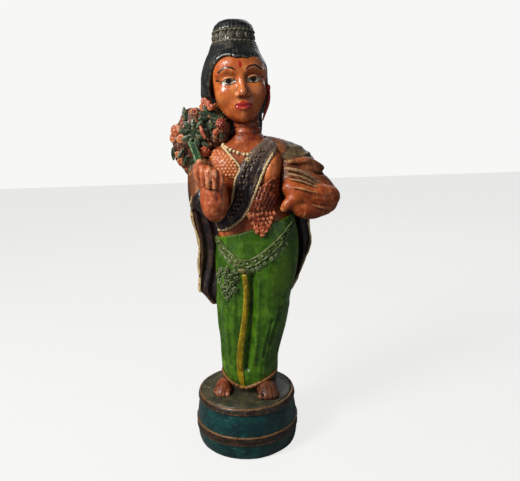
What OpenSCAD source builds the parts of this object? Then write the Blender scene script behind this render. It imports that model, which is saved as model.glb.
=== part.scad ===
// Painted clay figure of a standing deity on a drum base.
// The front faces -Y, +Z is up, and the origin is the middle of the underside.
// Every applied piece is cut back from what it lies on, so neighbours meet face to face.

/* [Drum base] */
// Radius of the drum at its widest
drum_r = 37.5; // [37:0.25:39]
// Height of the drum under its domed top
drum_h = 38; // [36:0.5:40]
// Thickness of the drum wall
drum_wall = 8; // [6:0.5:10]
// How far the two painted bands stand proud
band_proud = 1.1; // [0.8:0.1:1.5]
// Thickness of the plug that closes the underside
plug_t = 6; // [4:0.5:8]
// Radius of the vent hole in the plug
vent_r = 4; // [3:0.25:6]

/* [Armature] */
// Radius of the wooden rod inside the figure
rod_r = 3; // [2:0.25:3.5]
// Height of the rod's top above the ground
rod_top = 204; // [198:1:208]
// Wall of the hollow skirt
skirt_wall = 5; // [4:0.5:6]

/* [Ornament] */
// Radius of a necklace bead
bead_r = 1.7; // [1.4:0.1:1.9]
// Number of coils round the topknot
coil_count = 16; // [12:1:18]
// Number of beads under the hip sash
fringe_count = 13; // [9:1:15]
// Half thickness of a gold edge
edge_r = 1.3; // [1:0.1:1.5]

/* [Hidden] */
$fn = 64;
top_rise = 2;
top_band_h = 4.2;
knot_z = 242;
ground_z = drum_h + top_rise;
plug_r = drum_r - drum_wall - 0.5;
front = [0, -1, 0];
glue = 0.25;
rod_sunk = 7;
skin_paint = [0.78, 0.40, 0.16];
hair_paint = [0.13, 0.15, 0.13];
gold_paint = [0.74, 0.60, 0.34];
green_paint = [0.16, 0.38, 0.10];
cloak_paint = [0.17, 0.13, 0.17];
teal_paint = [0.08, 0.27, 0.27];

// Body stations: height over the ground, centre x, centre y, half width, half depth, tilt.
skirt_stations = [
  [0, 3.6, 0, 18.3, 14, 0], [10, 3.4, 0, 20, 16, 0], [23, 3.5, 0, 20.8, 17, 0],
  [37, 5, 0, 22.6, 18, 0.02], [56, 7, 0, 25.4, 19, 0.05], [70, 8, 0, 27, 19.8, 0.08],
  [87, 10.3, 0, 29.2, 20.6, 0.12], [105, 11, 0, 29.8, 21, 0.2], [121, 10, 0, 27.5, 20, 0.28]
];
torso_stations = [
  [121, 10, 0, 26, 19, 0.28], [130, 8, 0, 25, 18.6, 0.2], [140, 6.5, 0, 25.5, 19, 0.12],
  [150, 5.5, 0, 27.5, 19.6, 0.06], [160, 5, 0, 29.5, 19.2, 0], [168, 5, 0, 29.5, 17.6, 0],
  [174, 5, 0, 26, 15.2, 0], [178, 5.5, 0, 20, 12.8, 0], [182, 6.2, 0, 11.5, 10.5, 0]
];
head_stations = [
  [193.5, 5, -7, 4, 4, 0], [196, 4.8, -5.5, 9, 10, 0], [200, 4.4, -3.5, 13, 14.5, 0],
  [206, 3.8, -1.5, 16, 18, 0], [214, 3, 0, 18, 20.5, 0], [222, 2.2, 0.5, 18.6, 21.5, 0],
  [230, 1.4, 0.5, 18, 21, 0], [236, 0.8, 0.5, 15.5, 18.5, 0], [240, 0.4, 0.5, 11.5, 14, 0],
  [241.6, 0, 0.5, 5, 6, 0]
];
hair_stations = [
  [199, -0.5, 7, 19.5, 13, 0], [206, -1, 4, 22.6, 20, 0], [215, -1.2, 3, 22.8, 22.5, 0],
  [222, -1.2, 2.5, 22.4, 23, 0], [229, -0.6, 2.2, 21.4, 22.6, 0], [234, -0.8, 2, 19.2, 20.5, 0],
  [238, -0.8, 1.6, 17.2, 18, 0], [242, -0.8, 1, 15.6, 15.6, 0]
];
// Cloak stations: height over the ground, left edge x, right edge x, front y, back y.
cloak_stations = [
  [62, -24, 34, 4, 22.5], [72, -33, 37, 5, 23.5], [80, -33.5, 41, 6, 24.5], [92, -33, 47, 7, 25],
  [105, -32.5, 51, 7, 25.5], [125, -35.5, 50.5, 6, 25.5], [140, -38, 50, 5, 25],
  [155, -37.5, 49, 4, 24.5], [165, -35, 44, 3, 23.5], [172, -28, 36, 2, 21],
  [178, -17, 24, 2, 18], [182, -7, 18, 3, 15.5]
];
// Paths on the front of the body: x, height over the ground, half width.
sash_path = [
  [-17, 112, 2.2], [-12.5, 106.5, 2.4], [-6, 101, 2.6], [0.6, 97.8, 2.8], [7, 98.8, 2.8],
  [14, 103, 2.7], [23, 109.5, 2.6], [31, 117, 2.4], [36, 122.5, 2.2]
];
pleat_path = [
  [1.4, 89, 1.9], [2.2, 76, 2.1], [1, 61, 2.2], [-1, 48, 2.3], [-3, 36, 2.4], [-4, 24, 2.4],
  [-3.4, 12, 2.2], [-2, 5, 1.4]
];
hem_path = [[-17, 12, 1.6], [-12, 8, 1.6], [-2, 4.2, 1.6], [8, 7, 1.6], [17, 10.5, 1.6], [22, 12.6, 1.6]];
scarf_path = [
  [24, 179, 5], [15, 170, 7], [8.5, 161, 8], [4, 149, 7], [1, 139, 6.2], [-5, 130.5, 5.6],
  [-13, 124.5, 5]
];
scarf_right_path = [
  [-11, 177, 1.2], [-4, 169, 1.2], [0.5, 162, 1.2], [-2.6, 155, 1.2], [-4.6, 145, 1.2],
  [-6.4, 137, 1.2], [-13, 130, 1.2]
];
scarf_left_path = [
  [23, 171, 1.3], [18, 163.5, 1.4], [12.4, 151, 1.5], [8, 141, 1.4], [4.4, 133.5, 1.4],
  [-1.2, 127, 1.6], [-8.8, 121.6, 1.8], [-16, 119.6, 1.6]
];
garland_path = [
  [24.5, 152, 5], [20.5, 146, 7.5], [16.5, 139, 9], [14.5, 132, 9.5], [14, 125.5, 7], [15, 121.6, 3]
];
necklace_path = [[-11.5, 178.6], [-4, 173.6], [6.2, 171], [14.5, 174.6], [19.5, 179.4]];
// Limb stations: centre x, y, height over the ground, radius.
left_upper_stations = [
  [28, 1, 171, 2.5], [31, 0.5, 169, 7.5], [37, 0, 164, 9.8], [46, -1, 154, 10.6],
  [54, -3, 144.5, 11.4], [58.5, -4.5, 139, 10.2], [61.5, -5, 134, 5], [62.5, -5, 132.6, 1.5]
];
left_fore_stations = [
  [63, -7, 142, 3], [59.5, -7.5, 139, 8.6], [52, -10.5, 136, 9.4], [43, -15, 134.8, 8.8],
  [34, -19, 137, 8], [27, -22, 139, 7.2], [21, -24, 139, 5.6], [18, -25, 138.6, 2]
];
right_upper_stations = [
  [-20, 1, 171, 2.5], [-23, 0, 168, 7.5], [-26, -3, 161, 9.4], [-25, -9, 151, 9.4],
  [-22, -17, 141, 9], [-19, -22, 136, 6], [-18, -24, 134.5, 2]
];
right_fore_stations = [
  [-17.4, -25, 128.4, 3], [-16.8, -25, 131, 7.8], [-16, -26, 138, 9.6], [-15.4, -28, 147, 9.4],
  [-15, -29.5, 152.5, 7.6], [-15, -30, 155, 6]
];

function unit(v) = v / norm(v);
function blend(a, b, c, d, t) =
  0.5 * (2 * b + (c - a) * t + (2 * a - 5 * b + 4 * c - d) * t * t
    + (3 * b - a - 3 * c + d) * t * t * t);
// A smooth run of stations through the given ones.
function refine(list, steps) = let (last = len(list) - 1) concat(
  [for (i = [0:last - 1]) for (s = [0:steps - 1])
    blend(list[max(i - 1, 0)], list[i], list[i + 1], list[min(i + 2, last)], s / steps)],
  [list[last]]);
function oval(c, rx, ry, sides, tilt = 0) =
  [for (i = [0:sides - 1]) let (x = rx * cos(360 * i / sides), y = ry * sin(360 * i / sides))
    c + [x, y, tilt * x]];
function body_rings(list, sides, inset = 0) =
  [for (s = list) oval([s[1], s[2], s[0]], s[3] - inset, s[4] - inset, sides, s[5])];
function column(list, z, k) = lookup(z, [for (s = list) [s[0], s[k]]]);
// The front surface of a body at a given x and height.
function front_y(list, x, z) =
  let (cx = column(list, z, 1), rx = column(list, z, 3), u = min(0.97, abs(x - cx) / rx))
  column(list, z, 2) - column(list, z, 4) * sqrt(1 - u * u);
function along(path, i) = unit(path[min(i + 1, len(path) - 1)] - path[max(i - 1, 0)]);
function section(p, t, up, w, h, sides) =
  let (s = unit(cross(up, t)), n = cross(t, s))
  [for (k = [0:sides - 1]) p + s * w * cos(360 * k / sides) + n * h * sin(360 * k / sides)];

skirt_list = refine(skirt_stations, 2);
torso_list = refine(torso_stations, 2);
head_list = refine(head_stations, 2);
skirt_sides = 28;
torso_sides = 28;

// Triangles across a ring of n points from side to side, which suits a crescent as well.
function ladder(n) = concat(
  [for (i = [0:n - 1]) if (i + 1 < n - 1 - i) [i, i + 1, n - 1 - i]],
  [for (i = [1:n - 1]) if (i < n - 1 - i) [i, n - 1 - i, n - i]]);
// A closed skin through rings of points, each ring anticlockwise about the way it travels.
module skin(rings) {
  n = len(rings[0]);
  m = len(rings);
  polyhedron(
    points = [for (r = rings) for (p = r) p],
    faces = concat(
      ladder(n),
      [for (f = ladder(n)) [for (k = [2:-1:0]) (m - 1) * n + f[k]]],
      [for (j = [0:m - 2]) for (i = [0:n - 1]) let (a = j * n + i, b = j * n + (i + 1) % n) each
        [[a, a + n, b], [b, a + n, b + n]]]));
}

// A rounded lump with the given half sizes.
module lump(size, sides = 9, layers = 4) {
  end = 70;
  skin([for (j = [0:layers]) let (a = -end + 2 * end * j / layers)
    oval([0, 0, size[2] * sin(a) / sin(end)], size[0] * cos(a), size[1] * cos(a), sides)]);
}

// A limb through stations of x, y, z and radius.
module limb(stations, sides = 14, steps = 2, up = front) {
  list = refine(stations, steps);
  path = [for (s = list) [s[0], s[1], s[2]]];
  skin([for (i = [0:len(list) - 1])
    section(path[i], along(path, i), up, list[i][3], list[i][3], sides)]);
}

// A strip lying on the front of a body, through stations of x, height and half width.
module strip(list, stations, thick, sides = 8, steps = 2, lift = 0) {
  run = refine(stations, steps);
  path = [for (s = run) [s[0], front_y(list, s[0], s[1]) - lift, s[1]]];
  skin([for (i = [0:len(run) - 1])
    section(path[i], along(path, i), front, run[i][2], thick, sides)]);
}

module on_ground() { translate([0, 0, ground_z]) children(); }
module skirt_outer() { skin(body_rings(skirt_list, skirt_sides)); }
module skirt_inner() { skin(body_rings(refine(skirt_stations, 1), 20, skirt_wall)); }
module torso_outer() { skin(body_rings(torso_list, torso_sides)); }
module head_outer() { skin(body_rings(head_list, 24)); }
module rod() { translate([5, 0, -rod_sunk]) cylinder(r = rod_r, h = rod_top + rod_sunk); }

// ---- Drum base ----
drum_profile = [
  [plug_r, 0], [drum_r - 3, 0], [drum_r - 1.2, 1.4], [drum_r - 0.3, 5], [drum_r, 10], [drum_r, 16],
  [drum_r - 0.5, 22], [drum_r - 1.3, 29], [drum_r - 2.2, drum_h - top_band_h], [drum_r - 3.6, drum_h],
  [12, drum_h], [12, drum_h - 6], [plug_r, drum_h - 10], [plug_r, 0]
];
module ring_band(z, h, proud) {
  rotate_extrude() difference() {
    translate([drum_r - 4, z]) square([4 + proud, h]);
    polygon(drum_profile);
  }
}
module base_drum() { color(teal_paint) rotate_extrude() polygon(drum_profile); }
module base_top() {
  color([0.27, 0.29, 0.26]) difference() {
    rotate_extrude() polygon([[0, drum_h], [drum_r - 3.6, drum_h], [drum_r - 4.4, drum_h + 0.4 * top_rise],
      [drum_r - 6.5, drum_h + 0.75 * top_rise], [drum_r - 10, ground_z], [0, ground_z]]);
    on_ground() rod();
  }
}
module base_plug() {
  color([0.62, 0.42, 0.30]) difference() {
    cylinder(r = plug_r, h = plug_t);
    translate([0, 0, -1]) cylinder(r = vent_r, h = plug_t + 2);
  }
}
module base_band_lower() { color([0.50, 0.30, 0.16]) ring_band(11.7, 7, band_proud - 0.4); }
module base_band_upper() {
  color([0.58, 0.38, 0.18]) rotate_extrude() difference() {
    polygon([[drum_r - 6, drum_h - top_band_h], [drum_r - 1.6, drum_h - top_band_h], [drum_r - 2.4, drum_h],
      [drum_r - 3.6, drum_h]]);
    polygon(drum_profile);
  }
}
module core_rod() {
  color([0.66, 0.52, 0.34]) on_ground() rod();
}

// ---- Skirt ----
module skirt() {
  color(green_paint) on_ground() difference() {
    skirt_outer();
    skirt_inner();
  }
}
module skirt_pleat() {
  color([0.64, 0.46, 0.06]) on_ground() difference() {
    strip(skirt_list, pleat_path, 1.3);
    skirt_outer();
  }
}
module skirt_hem() {
  color([0.45, 0.27, 0.10]) on_ground() difference() {
    strip(skirt_list, hem_path, 1.8, lift = 0.3);
    skirt_outer();
    strip(skirt_list, pleat_path, 1.3);
  }
}
// A foot whose toes point out of the skirt.
module foot(x, y, turn, wide) {
  translate([x, y, 0]) rotate([0, 0, turn]) {
    difference() {
      translate([0, 0, 2.2]) lump([wide, 11, 6.6], 14, 6);
      translate([-20, -20, -10]) cube([40, 40, 10]);
    }
  }
}
module right_foot() {
  color([0.66, 0.30, 0.14]) on_ground() difference() {
    foot(-16.5, -10.5, -12, 6);
    skirt_outer();
    strip(skirt_list, hem_path, 1.8, lift = 0.3);
  }
}
module left_foot() {
  color([0.45, 0.18, 0.11]) on_ground() difference() {
    foot(14.5, -15, 8, 7.6);
    skirt_outer();
    strip(skirt_list, hem_path, 1.8, lift = 0.3);
  }
}
module sash_solid() { strip(skirt_list, sash_path, 1.8); }
module hip_sash() {
  color([0.25, 0.35, 0.16]) on_ground() difference() {
    sash_solid();
    skirt_outer();
  }
}
fringe_run = refine([for (s = sash_path) [s[0], s[1]]], 4);
function fringe_at(k) = fringe_run[round(1 + k * (len(fringe_run) - 9) / (fringe_count - 1))];
module sash_fringe() {
  color([0.33, 0.42, 0.20]) on_ground() difference() {
    for (k = [0:fringe_count - 1]) let (p = fringe_at(k), x = p[0] + 1.2, z = p[1] - 5.4)
      translate([x, front_y(skirt_list, x, z) - 0.4, z]) lump([1.5, 1.5, 1.9], 7, 4);
    skirt_outer();
    sash_solid();
  }
}
tassel_spots = [
  [-14, 92], [-9, 93.5], [-4.6, 89], [-16, 86.5], [-11, 87], [-6, 83.4], [-14, 81], [-9, 80],
  [-12, 75.4], [-8, 76]
];
module sash_tassel() {
  color([0.28, 0.42, 0.20]) on_ground() difference() {
    for (p = tassel_spots)
      translate([p[0], front_y(skirt_list, p[0], p[1]) - 0.3, p[1]]) lump([2.35, 2, 2.35], 8, 4);
    skirt_outer();
    sash_solid();
  }
}
module sash_knot() {
  color([0.60, 0.38, 0.16]) on_ground() difference() {
    translate([0.6, front_y(skirt_list, 0.6, 92.4) - 0.4, 92.4]) lump([2.6, 2, 2], 9, 4);
    skirt_outer();
    sash_solid();
    strip(skirt_list, pleat_path, 1.3);
  }
}

// ---- Torso, neck and head ----
module torso() {
  color(skin_paint) on_ground() difference() {
    torso_outer();
    rod();
  }
}
module neck_outer() {
  skin(body_rings([[182, 6.2, 0, 11.3, 10.3, 0], [185, 6.3, 0, 9.8, 9.8, 0],
    [190, 6.2, 0, 9.2, 9.4, 0], [196, 5.4, 0, 9.4, 9.8, 0], [203, 4.6, 0, 10, 10.4, 0]], 20));
}
module neck() {
  color([0.55, 0.27, 0.12]) on_ground() difference() {
    neck_outer();
    head_outer();
    rod();
  }
}
module head() {
  color(skin_paint) on_ground() difference() {
    union() {
      head_outer();
      translate([5.6, -19.2, 212]) rotate([-14, 0, 0]) lump([2.6, 3.4, 5.4], 8, 4);
    }
    rod();
  }
}
module hair_outer() { skin(body_rings(refine(hair_stations, 2), 26)); }
module face_opening() { translate([4.2, -19, 209.5]) lump([17.6, 17, 23], 20, 8); }
module hair_cap() {
  color(hair_paint) on_ground() difference() {
    hair_outer();
    head_outer();
    neck_outer();
    face_opening();
  }
}
module hair_back() {
  color(hair_paint) on_ground() difference() {
    skin(body_rings([[182, 4.5, 9.5, 12.5, 5.5, 0], [186, 3, 11, 14.5, 8, 0],
      [192, 1.6, 11.5, 17, 9, 0], [199, -0.5, 9, 19, 11, 0]], 20));
    neck_outer();
    head_outer();
  }
}
knot_profile = [
  [0, 0], [15.8, 0], [14.4, 2.5], [13.5, 6], [13.8, 10.5], [12.6, 13.5], [10, 15.8], [6, 17.2], [0, 18]
];
module at_knot() { translate([-0.8, 1, knot_z]) children(); }
module topknot() { color(hair_paint) on_ground() at_knot() rotate_extrude() polygon(knot_profile); }
module topknot_bands() {
  color([0.25, 0.27, 0.24]) on_ground() at_knot() rotate_extrude() difference() {
    union() {
      translate([14.6, 2.2]) circle(r = 0.9, $fn = 24);
      translate([13.8, 8.7]) circle(r = 0.9, $fn = 24);
    }
    polygon(knot_profile);
  }
}
module topknot_coils() {
  color([0.20, 0.22, 0.19]) on_ground() at_knot() difference() {
    for (k = [0:coil_count - 1]) rotate([0, 0, 360 * k / coil_count])
      translate([13.4, 0, 5.4]) sphere(r = 1.9, $fn = 24);
    rotate_extrude() polygon(knot_profile);
  }
}
module right_hair_flowers() {
  color([0.50, 0.20, 0.14]) on_ground() difference() {
    for (p = [[-22.6, -6, 206], [-22.4, -7.5, 200.6]]) translate(p) lump([2.6, 3, 2.8], 8, 4);
    hair_outer();
    head_outer();
    bouquet_mass();
  }
}
module left_hair_ribbon() {
  color([0.55, 0.08, 0.07]) on_ground() difference() {
    limb([[20.6, -6, 217, 0.8], [21, -6.4, 213, 1.4], [20.6, -7, 206, 1.5], [18.6, -7, 199, 1.2],
      [17.2, -6, 195, 0.6]], 8, 2);
    hair_outer();
    head_outer();
    neck_outer();
  }
}
function neck_bead(t) = let (run = refine(necklace_path, 6), p = run[round(t * (len(run) - 1))])
  [p[0], front_y(torso_list, p[0], p[1]) - 0.6, p[1]];
module necklace() {
  color(gold_paint) on_ground() difference() {
    for (t = [0:1 / 8:1]) translate(neck_bead(t)) lump([bead_r, bead_r, bead_r], 8, 4);
    torso_outer();
    neck_outer();
    drape_solid();
  }
}
module pendant_solid() {
  translate([6.2, front_y(torso_list, 6.2, 166.6) - 0.3, 166.8]) lump([2.4, 1.8, 2.2], 10, 4);
}
module pendant() {
  color(gold_paint) on_ground() difference() {
    pendant_solid();
    torso_outer();
  }
}
// ---- Cloths and garlands on the body ----
module scarf_solid() { strip(torso_list, scarf_path, 2.6, 10, 2, 0.4); }
module chest_brocade() {
  color([0.76, 0.44, 0.20]) on_ground() difference() {
    translate([-10.5, front_y(torso_list, -10.5, 166) - 0.4, 165.5]) rotate([0, 40, 0])
      lump([9.5, 3, 6.4], 14, 5);
    torso_outer();
    strip(torso_list, scarf_right_path, edge_r, lift = 0.4);
    right_hand_solid();
    limb(right_upper_stations);
    limb(right_fore_stations);
    bouquet_mass();
  }
}
module garland_solid() { strip(torso_list, garland_path, 4, 12, 2, 0.8); }
module garland() {
  color([0.66, 0.24, 0.10]) on_ground() difference() {
    garland_solid();
    skirt_outer();
    torso_outer();
    scarf_solid();
    strip(torso_list, scarf_left_path, edge_r + 0.4, lift = 0.6);
    limb(left_fore_stations);
  }
}
module garland_end() {
  color([0.82, 0.30, 0.12]) on_ground() difference() {
    for (p = [[8, 130], [13.4, 128], [18.8, 129.2], [11, 123.4], [16.4, 123.2], [14.4, 119.2]])
      translate([p[0], front_y(torso_list, p[0], p[1]) - 4.4, p[1]]) lump([2.7, 2.2, 2.6], 8, 4);
    garland_solid();
    skirt_outer();
    torso_outer();
  }
}
module scarf() {
  color(cloak_paint) on_ground() difference() {
    scarf_solid();
    skirt_outer();
    torso_outer();
    neck_outer();
    pendant_solid();
    limb(right_fore_stations);
    limb(right_upper_stations);
  }
}
module scarf_edge_right() {
  color(gold_paint) on_ground() difference() {
    strip(torso_list, scarf_right_path, edge_r, lift = 0.4);
    torso_outer();
    scarf_solid();
    pendant_solid();
    limb(right_fore_stations);
    limb(right_upper_stations);
  }
}
module scarf_edge_left() {
  color(gold_paint) on_ground() difference() {
    strip(torso_list, scarf_left_path, edge_r + 0.4, lift = 0.6);
    skirt_outer();
    torso_outer();
    scarf_solid();
    drape_solid();
    limb(right_upper_stations);
    limb(right_fore_stations);
  }
}
module scarf_studs() {
  color([0.24, 0.22, 0.22]) on_ground() difference() {
    for (p = [[1.6, 158], [-0.6, 152], [-2, 146], [-2.6, 140], [-5, 134.4], [4, 155]])
      translate([p[0], front_y(torso_list, p[0], p[1]) - 3, p[1]]) lump([1.3, 1, 1.3], 7, 4);
    scarf_solid();
    torso_outer();
  }
}
// The back of the body at a given x and height, or the front of the cloak beyond its sides.
function back_y(x, z, least) =
  let (list = z < 121 ? skirt_list : torso_list, cx = column(list, z, 1), rx = column(list, z, 3),
    u = min(1, abs(x - cx) / rx))
  max(least, column(list, z, 2) + glue + column(list, z, 4) * sqrt(1 - u * u));
// One cross-section of the cloak: a round back, and a front that follows the body's back.
function cloak_ring(s) = let (cx = (s[1] + s[2]) / 2, rx = (s[2] - s[1]) / 2, deep = s[4] - s[3])
  concat(
  [for (k = [0:16]) let (a = 180 * k / 16) [cx + rx * cos(a), s[3] + deep * sin(a), s[0]]],
  [for (k = [1:15]) let (a = 180 - 180 * k / 16, x = cx + rx * cos(a))
    [x, min(back_y(x, s[0], s[3] + 0.8), s[3] + deep * sin(a) - 1.2), s[0]]]);
module cloak_solid() { skin([for (s = refine(cloak_stations, 2)) cloak_ring(s)]); }
module cloak() { color(cloak_paint) on_ground() cloak_solid(); }
// The gold border down one side of the cloak; side is 1 or 2, as the columns of its stations.
module cloak_border(side, low, high) {
  limb([for (s = cloak_stations) if (s[0] >= low && s[0] <= high) [s[side], s[3], s[0], edge_r]],
    8, 1);
}
module cloak_edge_right() {
  color(gold_paint) on_ground() difference() {
    cloak_border(1, 72, 165);
    cloak_solid();
    limb(right_upper_stations);
  }
}
module cloak_edge_left() {
  color(gold_paint) on_ground() difference() {
    cloak_border(2, 72, 125);
    cloak_solid();
    limb(left_fore_stations);
    limb(left_upper_stations);
  }
}
drape_stations = [
  [14, 2, 178, 3], [19, 1, 175.5, 9], [28, 0, 172, 11.6], [37, 0, 167, 12], [43, -1, 162, 10.4],
  [45, -1, 160, 8]
];
module drape_solid() { limb(drape_stations, 16); }
module shoulder_drape() {
  color([0.30, 0.30, 0.22]) on_ground() difference() {
    drape_solid();
    torso_outer();
    limb(left_upper_stations);
    scarf_solid();
    translate([0, 3, 150]) cube([60, 30, 40]);
  }
}
// ---- Arms ----
module right_upper_arm() {
  color(skin_paint) on_ground() difference() {
    limb(right_upper_stations);
    torso_outer();
    cloak_solid();
    limb(right_fore_stations);
  }
}
module right_forearm() {
  color(skin_paint) on_ground() difference() {
    limb(right_fore_stations);
    torso_outer();
  }
}
module right_hand_solid() {
  limb([[-14, -29, 153, 5], [-14.6, -29.6, 155.4, 8.4], [-16.5, -29.4, 159, 8.2],
    [-19.5, -27.6, 162.4, 5.6], [-22, -25.6, 164.6, 3]], 14);
}
module right_hand() {
  color(skin_paint) on_ground() difference() {
    right_hand_solid();
    limb(right_fore_stations);
    torso_outer();
    limb(right_upper_stations);
  }
}
module left_upper_arm() {
  color(skin_paint) on_ground() difference() {
    limb(left_upper_stations);
    torso_outer();
    cloak_solid();
    limb(left_fore_stations);
  }
}
module left_forearm() {
  color(skin_paint) on_ground() difference() {
    limb(left_fore_stations);
    skirt_outer();
    torso_outer();
  }
}
module left_armlet() {
  color([0.45, 0.33, 0.18]) on_ground() difference() {
    limb([[44.5, -0.8, 155.6, 11.6], [47.6, -1.5, 152.2, 12.2], [50.6, -2.2, 148.6, 12.2],
      [52.4, -2.6, 146.4, 11.9]], 16, 1);
    limb(left_upper_stations);
    torso_outer();
    cloak_solid();
    limb(left_fore_stations);
    drape_solid();
  }
}
// ---- Flower spray ----
module bouquet_mass() {
  translate([-30.4, -3, 181]) rotate([0, 12, 0]) lump([15.6, 9, 21], 18, 8);
}
module spray_cut() {
  bouquet_mass();
  right_hand_solid();
  hair_outer();
}
module bouquet_ground() {
  color([0.16, 0.20, 0.14]) on_ground() difference() {
    bouquet_mass();
    torso_outer();
    limb(right_upper_stations);
    hair_outer();
    right_hand_solid();
    cloak_solid();
  }
}
module bouquet_stems() {
  color([0.12, 0.36, 0.16]) on_ground() difference() {
    for (k = [0:2]) limb([[-25 + 1.6 * k, -21, 165, 0.9], [-27 + 2 * k, -17.5, 172, 1.2],
      [-28.6 + 2.6 * k, -14.5, 180, 1]], 7, 1);
    spray_cut();
  }
}
leaf_spots = [
  [-27.6, 184, 0], [-23.4, 188, 50], [-31, 190, -50], [-30.6, 179, -110], [-24.6, 180, 110],
  [-19.4, 193.5, 10], [-22.6, 197, -20], [-16.6, 190, 70], [-34, 196, -30], [-36, 184, -70]
];
module spray_y(p) {
  u = [(p[0] + 31) / 15.5, (p[1] - 181) / 22];
  translate([p[0], -3 - 9.2 * sqrt(max(0.05, 1 - u * u)), p[1]]) children();
}
module bouquet_leaves() {
  color([0.10, 0.30, 0.15]) on_ground() difference() {
    for (p = leaf_spots) spray_y(p) rotate([0, p[2], 0]) translate([0, 0, 2.4])
      lump([1.9, 1.3, 3.2], 7, 4);
    spray_cut();
  }
}
blossom_spots = [
  [-40.5, 187], [-43, 181.6], [-39, 193], [-40, 174.6], [-37, 167.6], [-31, 200.6], [-34.4, 163.4]
];
module bouquet_blossoms() {
  color([0.72, 0.34, 0.14]) on_ground() difference() {
    for (p = blossom_spots) spray_y(p) lump([3, 2.4, 3], 8, 4);
    spray_cut();
  }
}
module bouquet_buds() {
  color([0.70, 0.22, 0.12]) on_ground() difference() {
    for (p = [[-22.6, 173.6], [-18.6, 183.4], [-17, 198]]) spray_y(p) lump([2.7, 2.6, 2.7], 10, 5);
    spray_cut();
  }
}

base_drum();
base_top();
base_plug();
base_band_lower();
base_band_upper();
core_rod();
skirt();
skirt_pleat();
skirt_hem();
right_foot();
left_foot();
hip_sash();
sash_fringe();
sash_tassel();
sash_knot();
torso();
neck();
head();
hair_cap();
hair_back();
topknot();
topknot_bands();
topknot_coils();
right_hair_flowers();
left_hair_ribbon();
necklace();
pendant();
chest_brocade();
garland();
garland_end();
scarf();
scarf_edge_right();
scarf_edge_left();
scarf_studs();
cloak();
cloak_edge_right();
cloak_edge_left();
shoulder_drape();
right_upper_arm();
right_forearm();
right_hand();
left_upper_arm();
left_forearm();
left_armlet();
bouquet_ground();
bouquet_stems();
bouquet_leaves();
bouquet_blossoms();
bouquet_buds();
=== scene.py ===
"""The looks of a painted clay figure on a drum base, sculpted around its CAD frame.

Sculpting is done in millimetres, on distance fields that are skinned to meshes. World +Z is up
and the figure's front faces -Y. Heights of the figure's parts are over the drum's top, GROUND.
"""
import math

import bpy
import numpy as np
from mathutils import Matrix, Vector


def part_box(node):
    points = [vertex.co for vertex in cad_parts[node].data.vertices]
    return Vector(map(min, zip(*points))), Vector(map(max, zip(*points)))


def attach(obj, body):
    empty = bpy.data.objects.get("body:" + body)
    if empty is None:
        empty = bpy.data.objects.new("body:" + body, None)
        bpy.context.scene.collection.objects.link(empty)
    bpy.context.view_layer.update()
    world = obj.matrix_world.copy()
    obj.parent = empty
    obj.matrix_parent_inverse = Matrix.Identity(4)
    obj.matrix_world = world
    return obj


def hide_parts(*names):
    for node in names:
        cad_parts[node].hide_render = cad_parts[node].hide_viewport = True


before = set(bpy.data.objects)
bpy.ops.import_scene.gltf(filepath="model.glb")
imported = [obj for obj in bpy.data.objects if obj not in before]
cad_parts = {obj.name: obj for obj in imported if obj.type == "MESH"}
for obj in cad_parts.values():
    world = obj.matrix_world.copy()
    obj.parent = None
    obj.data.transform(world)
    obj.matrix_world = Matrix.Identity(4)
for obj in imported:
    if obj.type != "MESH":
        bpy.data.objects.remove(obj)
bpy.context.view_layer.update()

MM = 0.001
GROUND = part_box("base_top")[1].z / MM
COARSE = 1.0
FAR = 30.0


# ---------------------------------------------------------------- smooth curves and noise
def refine(stations, steps=6):
    """A smooth run of stations through the given ones."""
    s = np.array(stations, float)
    last = len(s) - 1
    run = []
    for i in range(last):
        a, b, c, d = s[max(i - 1, 0)], s[i], s[i + 1], s[min(i + 2, last)]
        for k in range(steps):
            t = k / steps
            run.append(0.5 * (2 * b + (c - a) * t + (2 * a - 5 * b + 4 * c - d) * t * t
                              + (3 * b - a - 3 * c + d) * t ** 3))
    run.append(s[last])
    return np.array(run)


def lattice(i, j, k, seed):
    """A repeatable number from 0 to 1 at each whole-numbered point."""
    h = (i * 73856093) ^ (j * 19349663) ^ (k * 83492791) ^ (seed * 2654435761)
    h = (h ^ (h >> 13)) * 1274126177
    return ((h ^ (h >> 16)) & 0xFFFF) / 65535.0


def cloudy(p, size, seed):
    """Smooth noise from -1 to 1 at points p, whose lumps are about size across."""
    total, share = np.zeros(len(p)), 0.0
    for octave in range(2):
        q = p * (2 ** octave) / size + 17.3 * octave
        base = np.floor(q).astype(np.int64)
        f = q - base
        f = f * f * (3 - 2 * f)
        value = np.zeros(len(p))
        for corner in range(8):
            o = np.array([corner & 1, corner >> 1 & 1, corner >> 2 & 1])
            w = np.prod(np.where(o, f, 1 - f), axis=1)
            c = base + o
            value += w * lattice(c[:, 0], c[:, 1], c[:, 2], seed + octave)
        total += (2 * value - 1) / (2 ** octave)
        share += 1 / (2 ** octave)
    return total / share


def soft_min(a, b, k):
    h = np.maximum(k - np.abs(a - b), 0) / k
    return np.minimum(a, b) - h * h * k * 0.25


def soft_max(a, b, k):
    return -soft_min(-a, -b, k)


def ramp(low, high, value):
    """0 at low, 1 at high, and smooth between."""
    t = np.clip((value - low) / (high - low), 0, 1)
    return t * t * (3 - 2 * t)


def hill(value, width):
    return np.exp(-(value / width) ** 2)


def unit(v):
    v = np.array(v, float)
    return v / (np.linalg.norm(v) + 1e-12)


# ---------------------------------------------------------------- shapes
class Shape:
    """A distance function and the box that holds its solid."""

    def __init__(self, distance, low, high):
        self.distance, self.low, self.high = distance, np.array(low, float), np.array(high, float)


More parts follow.
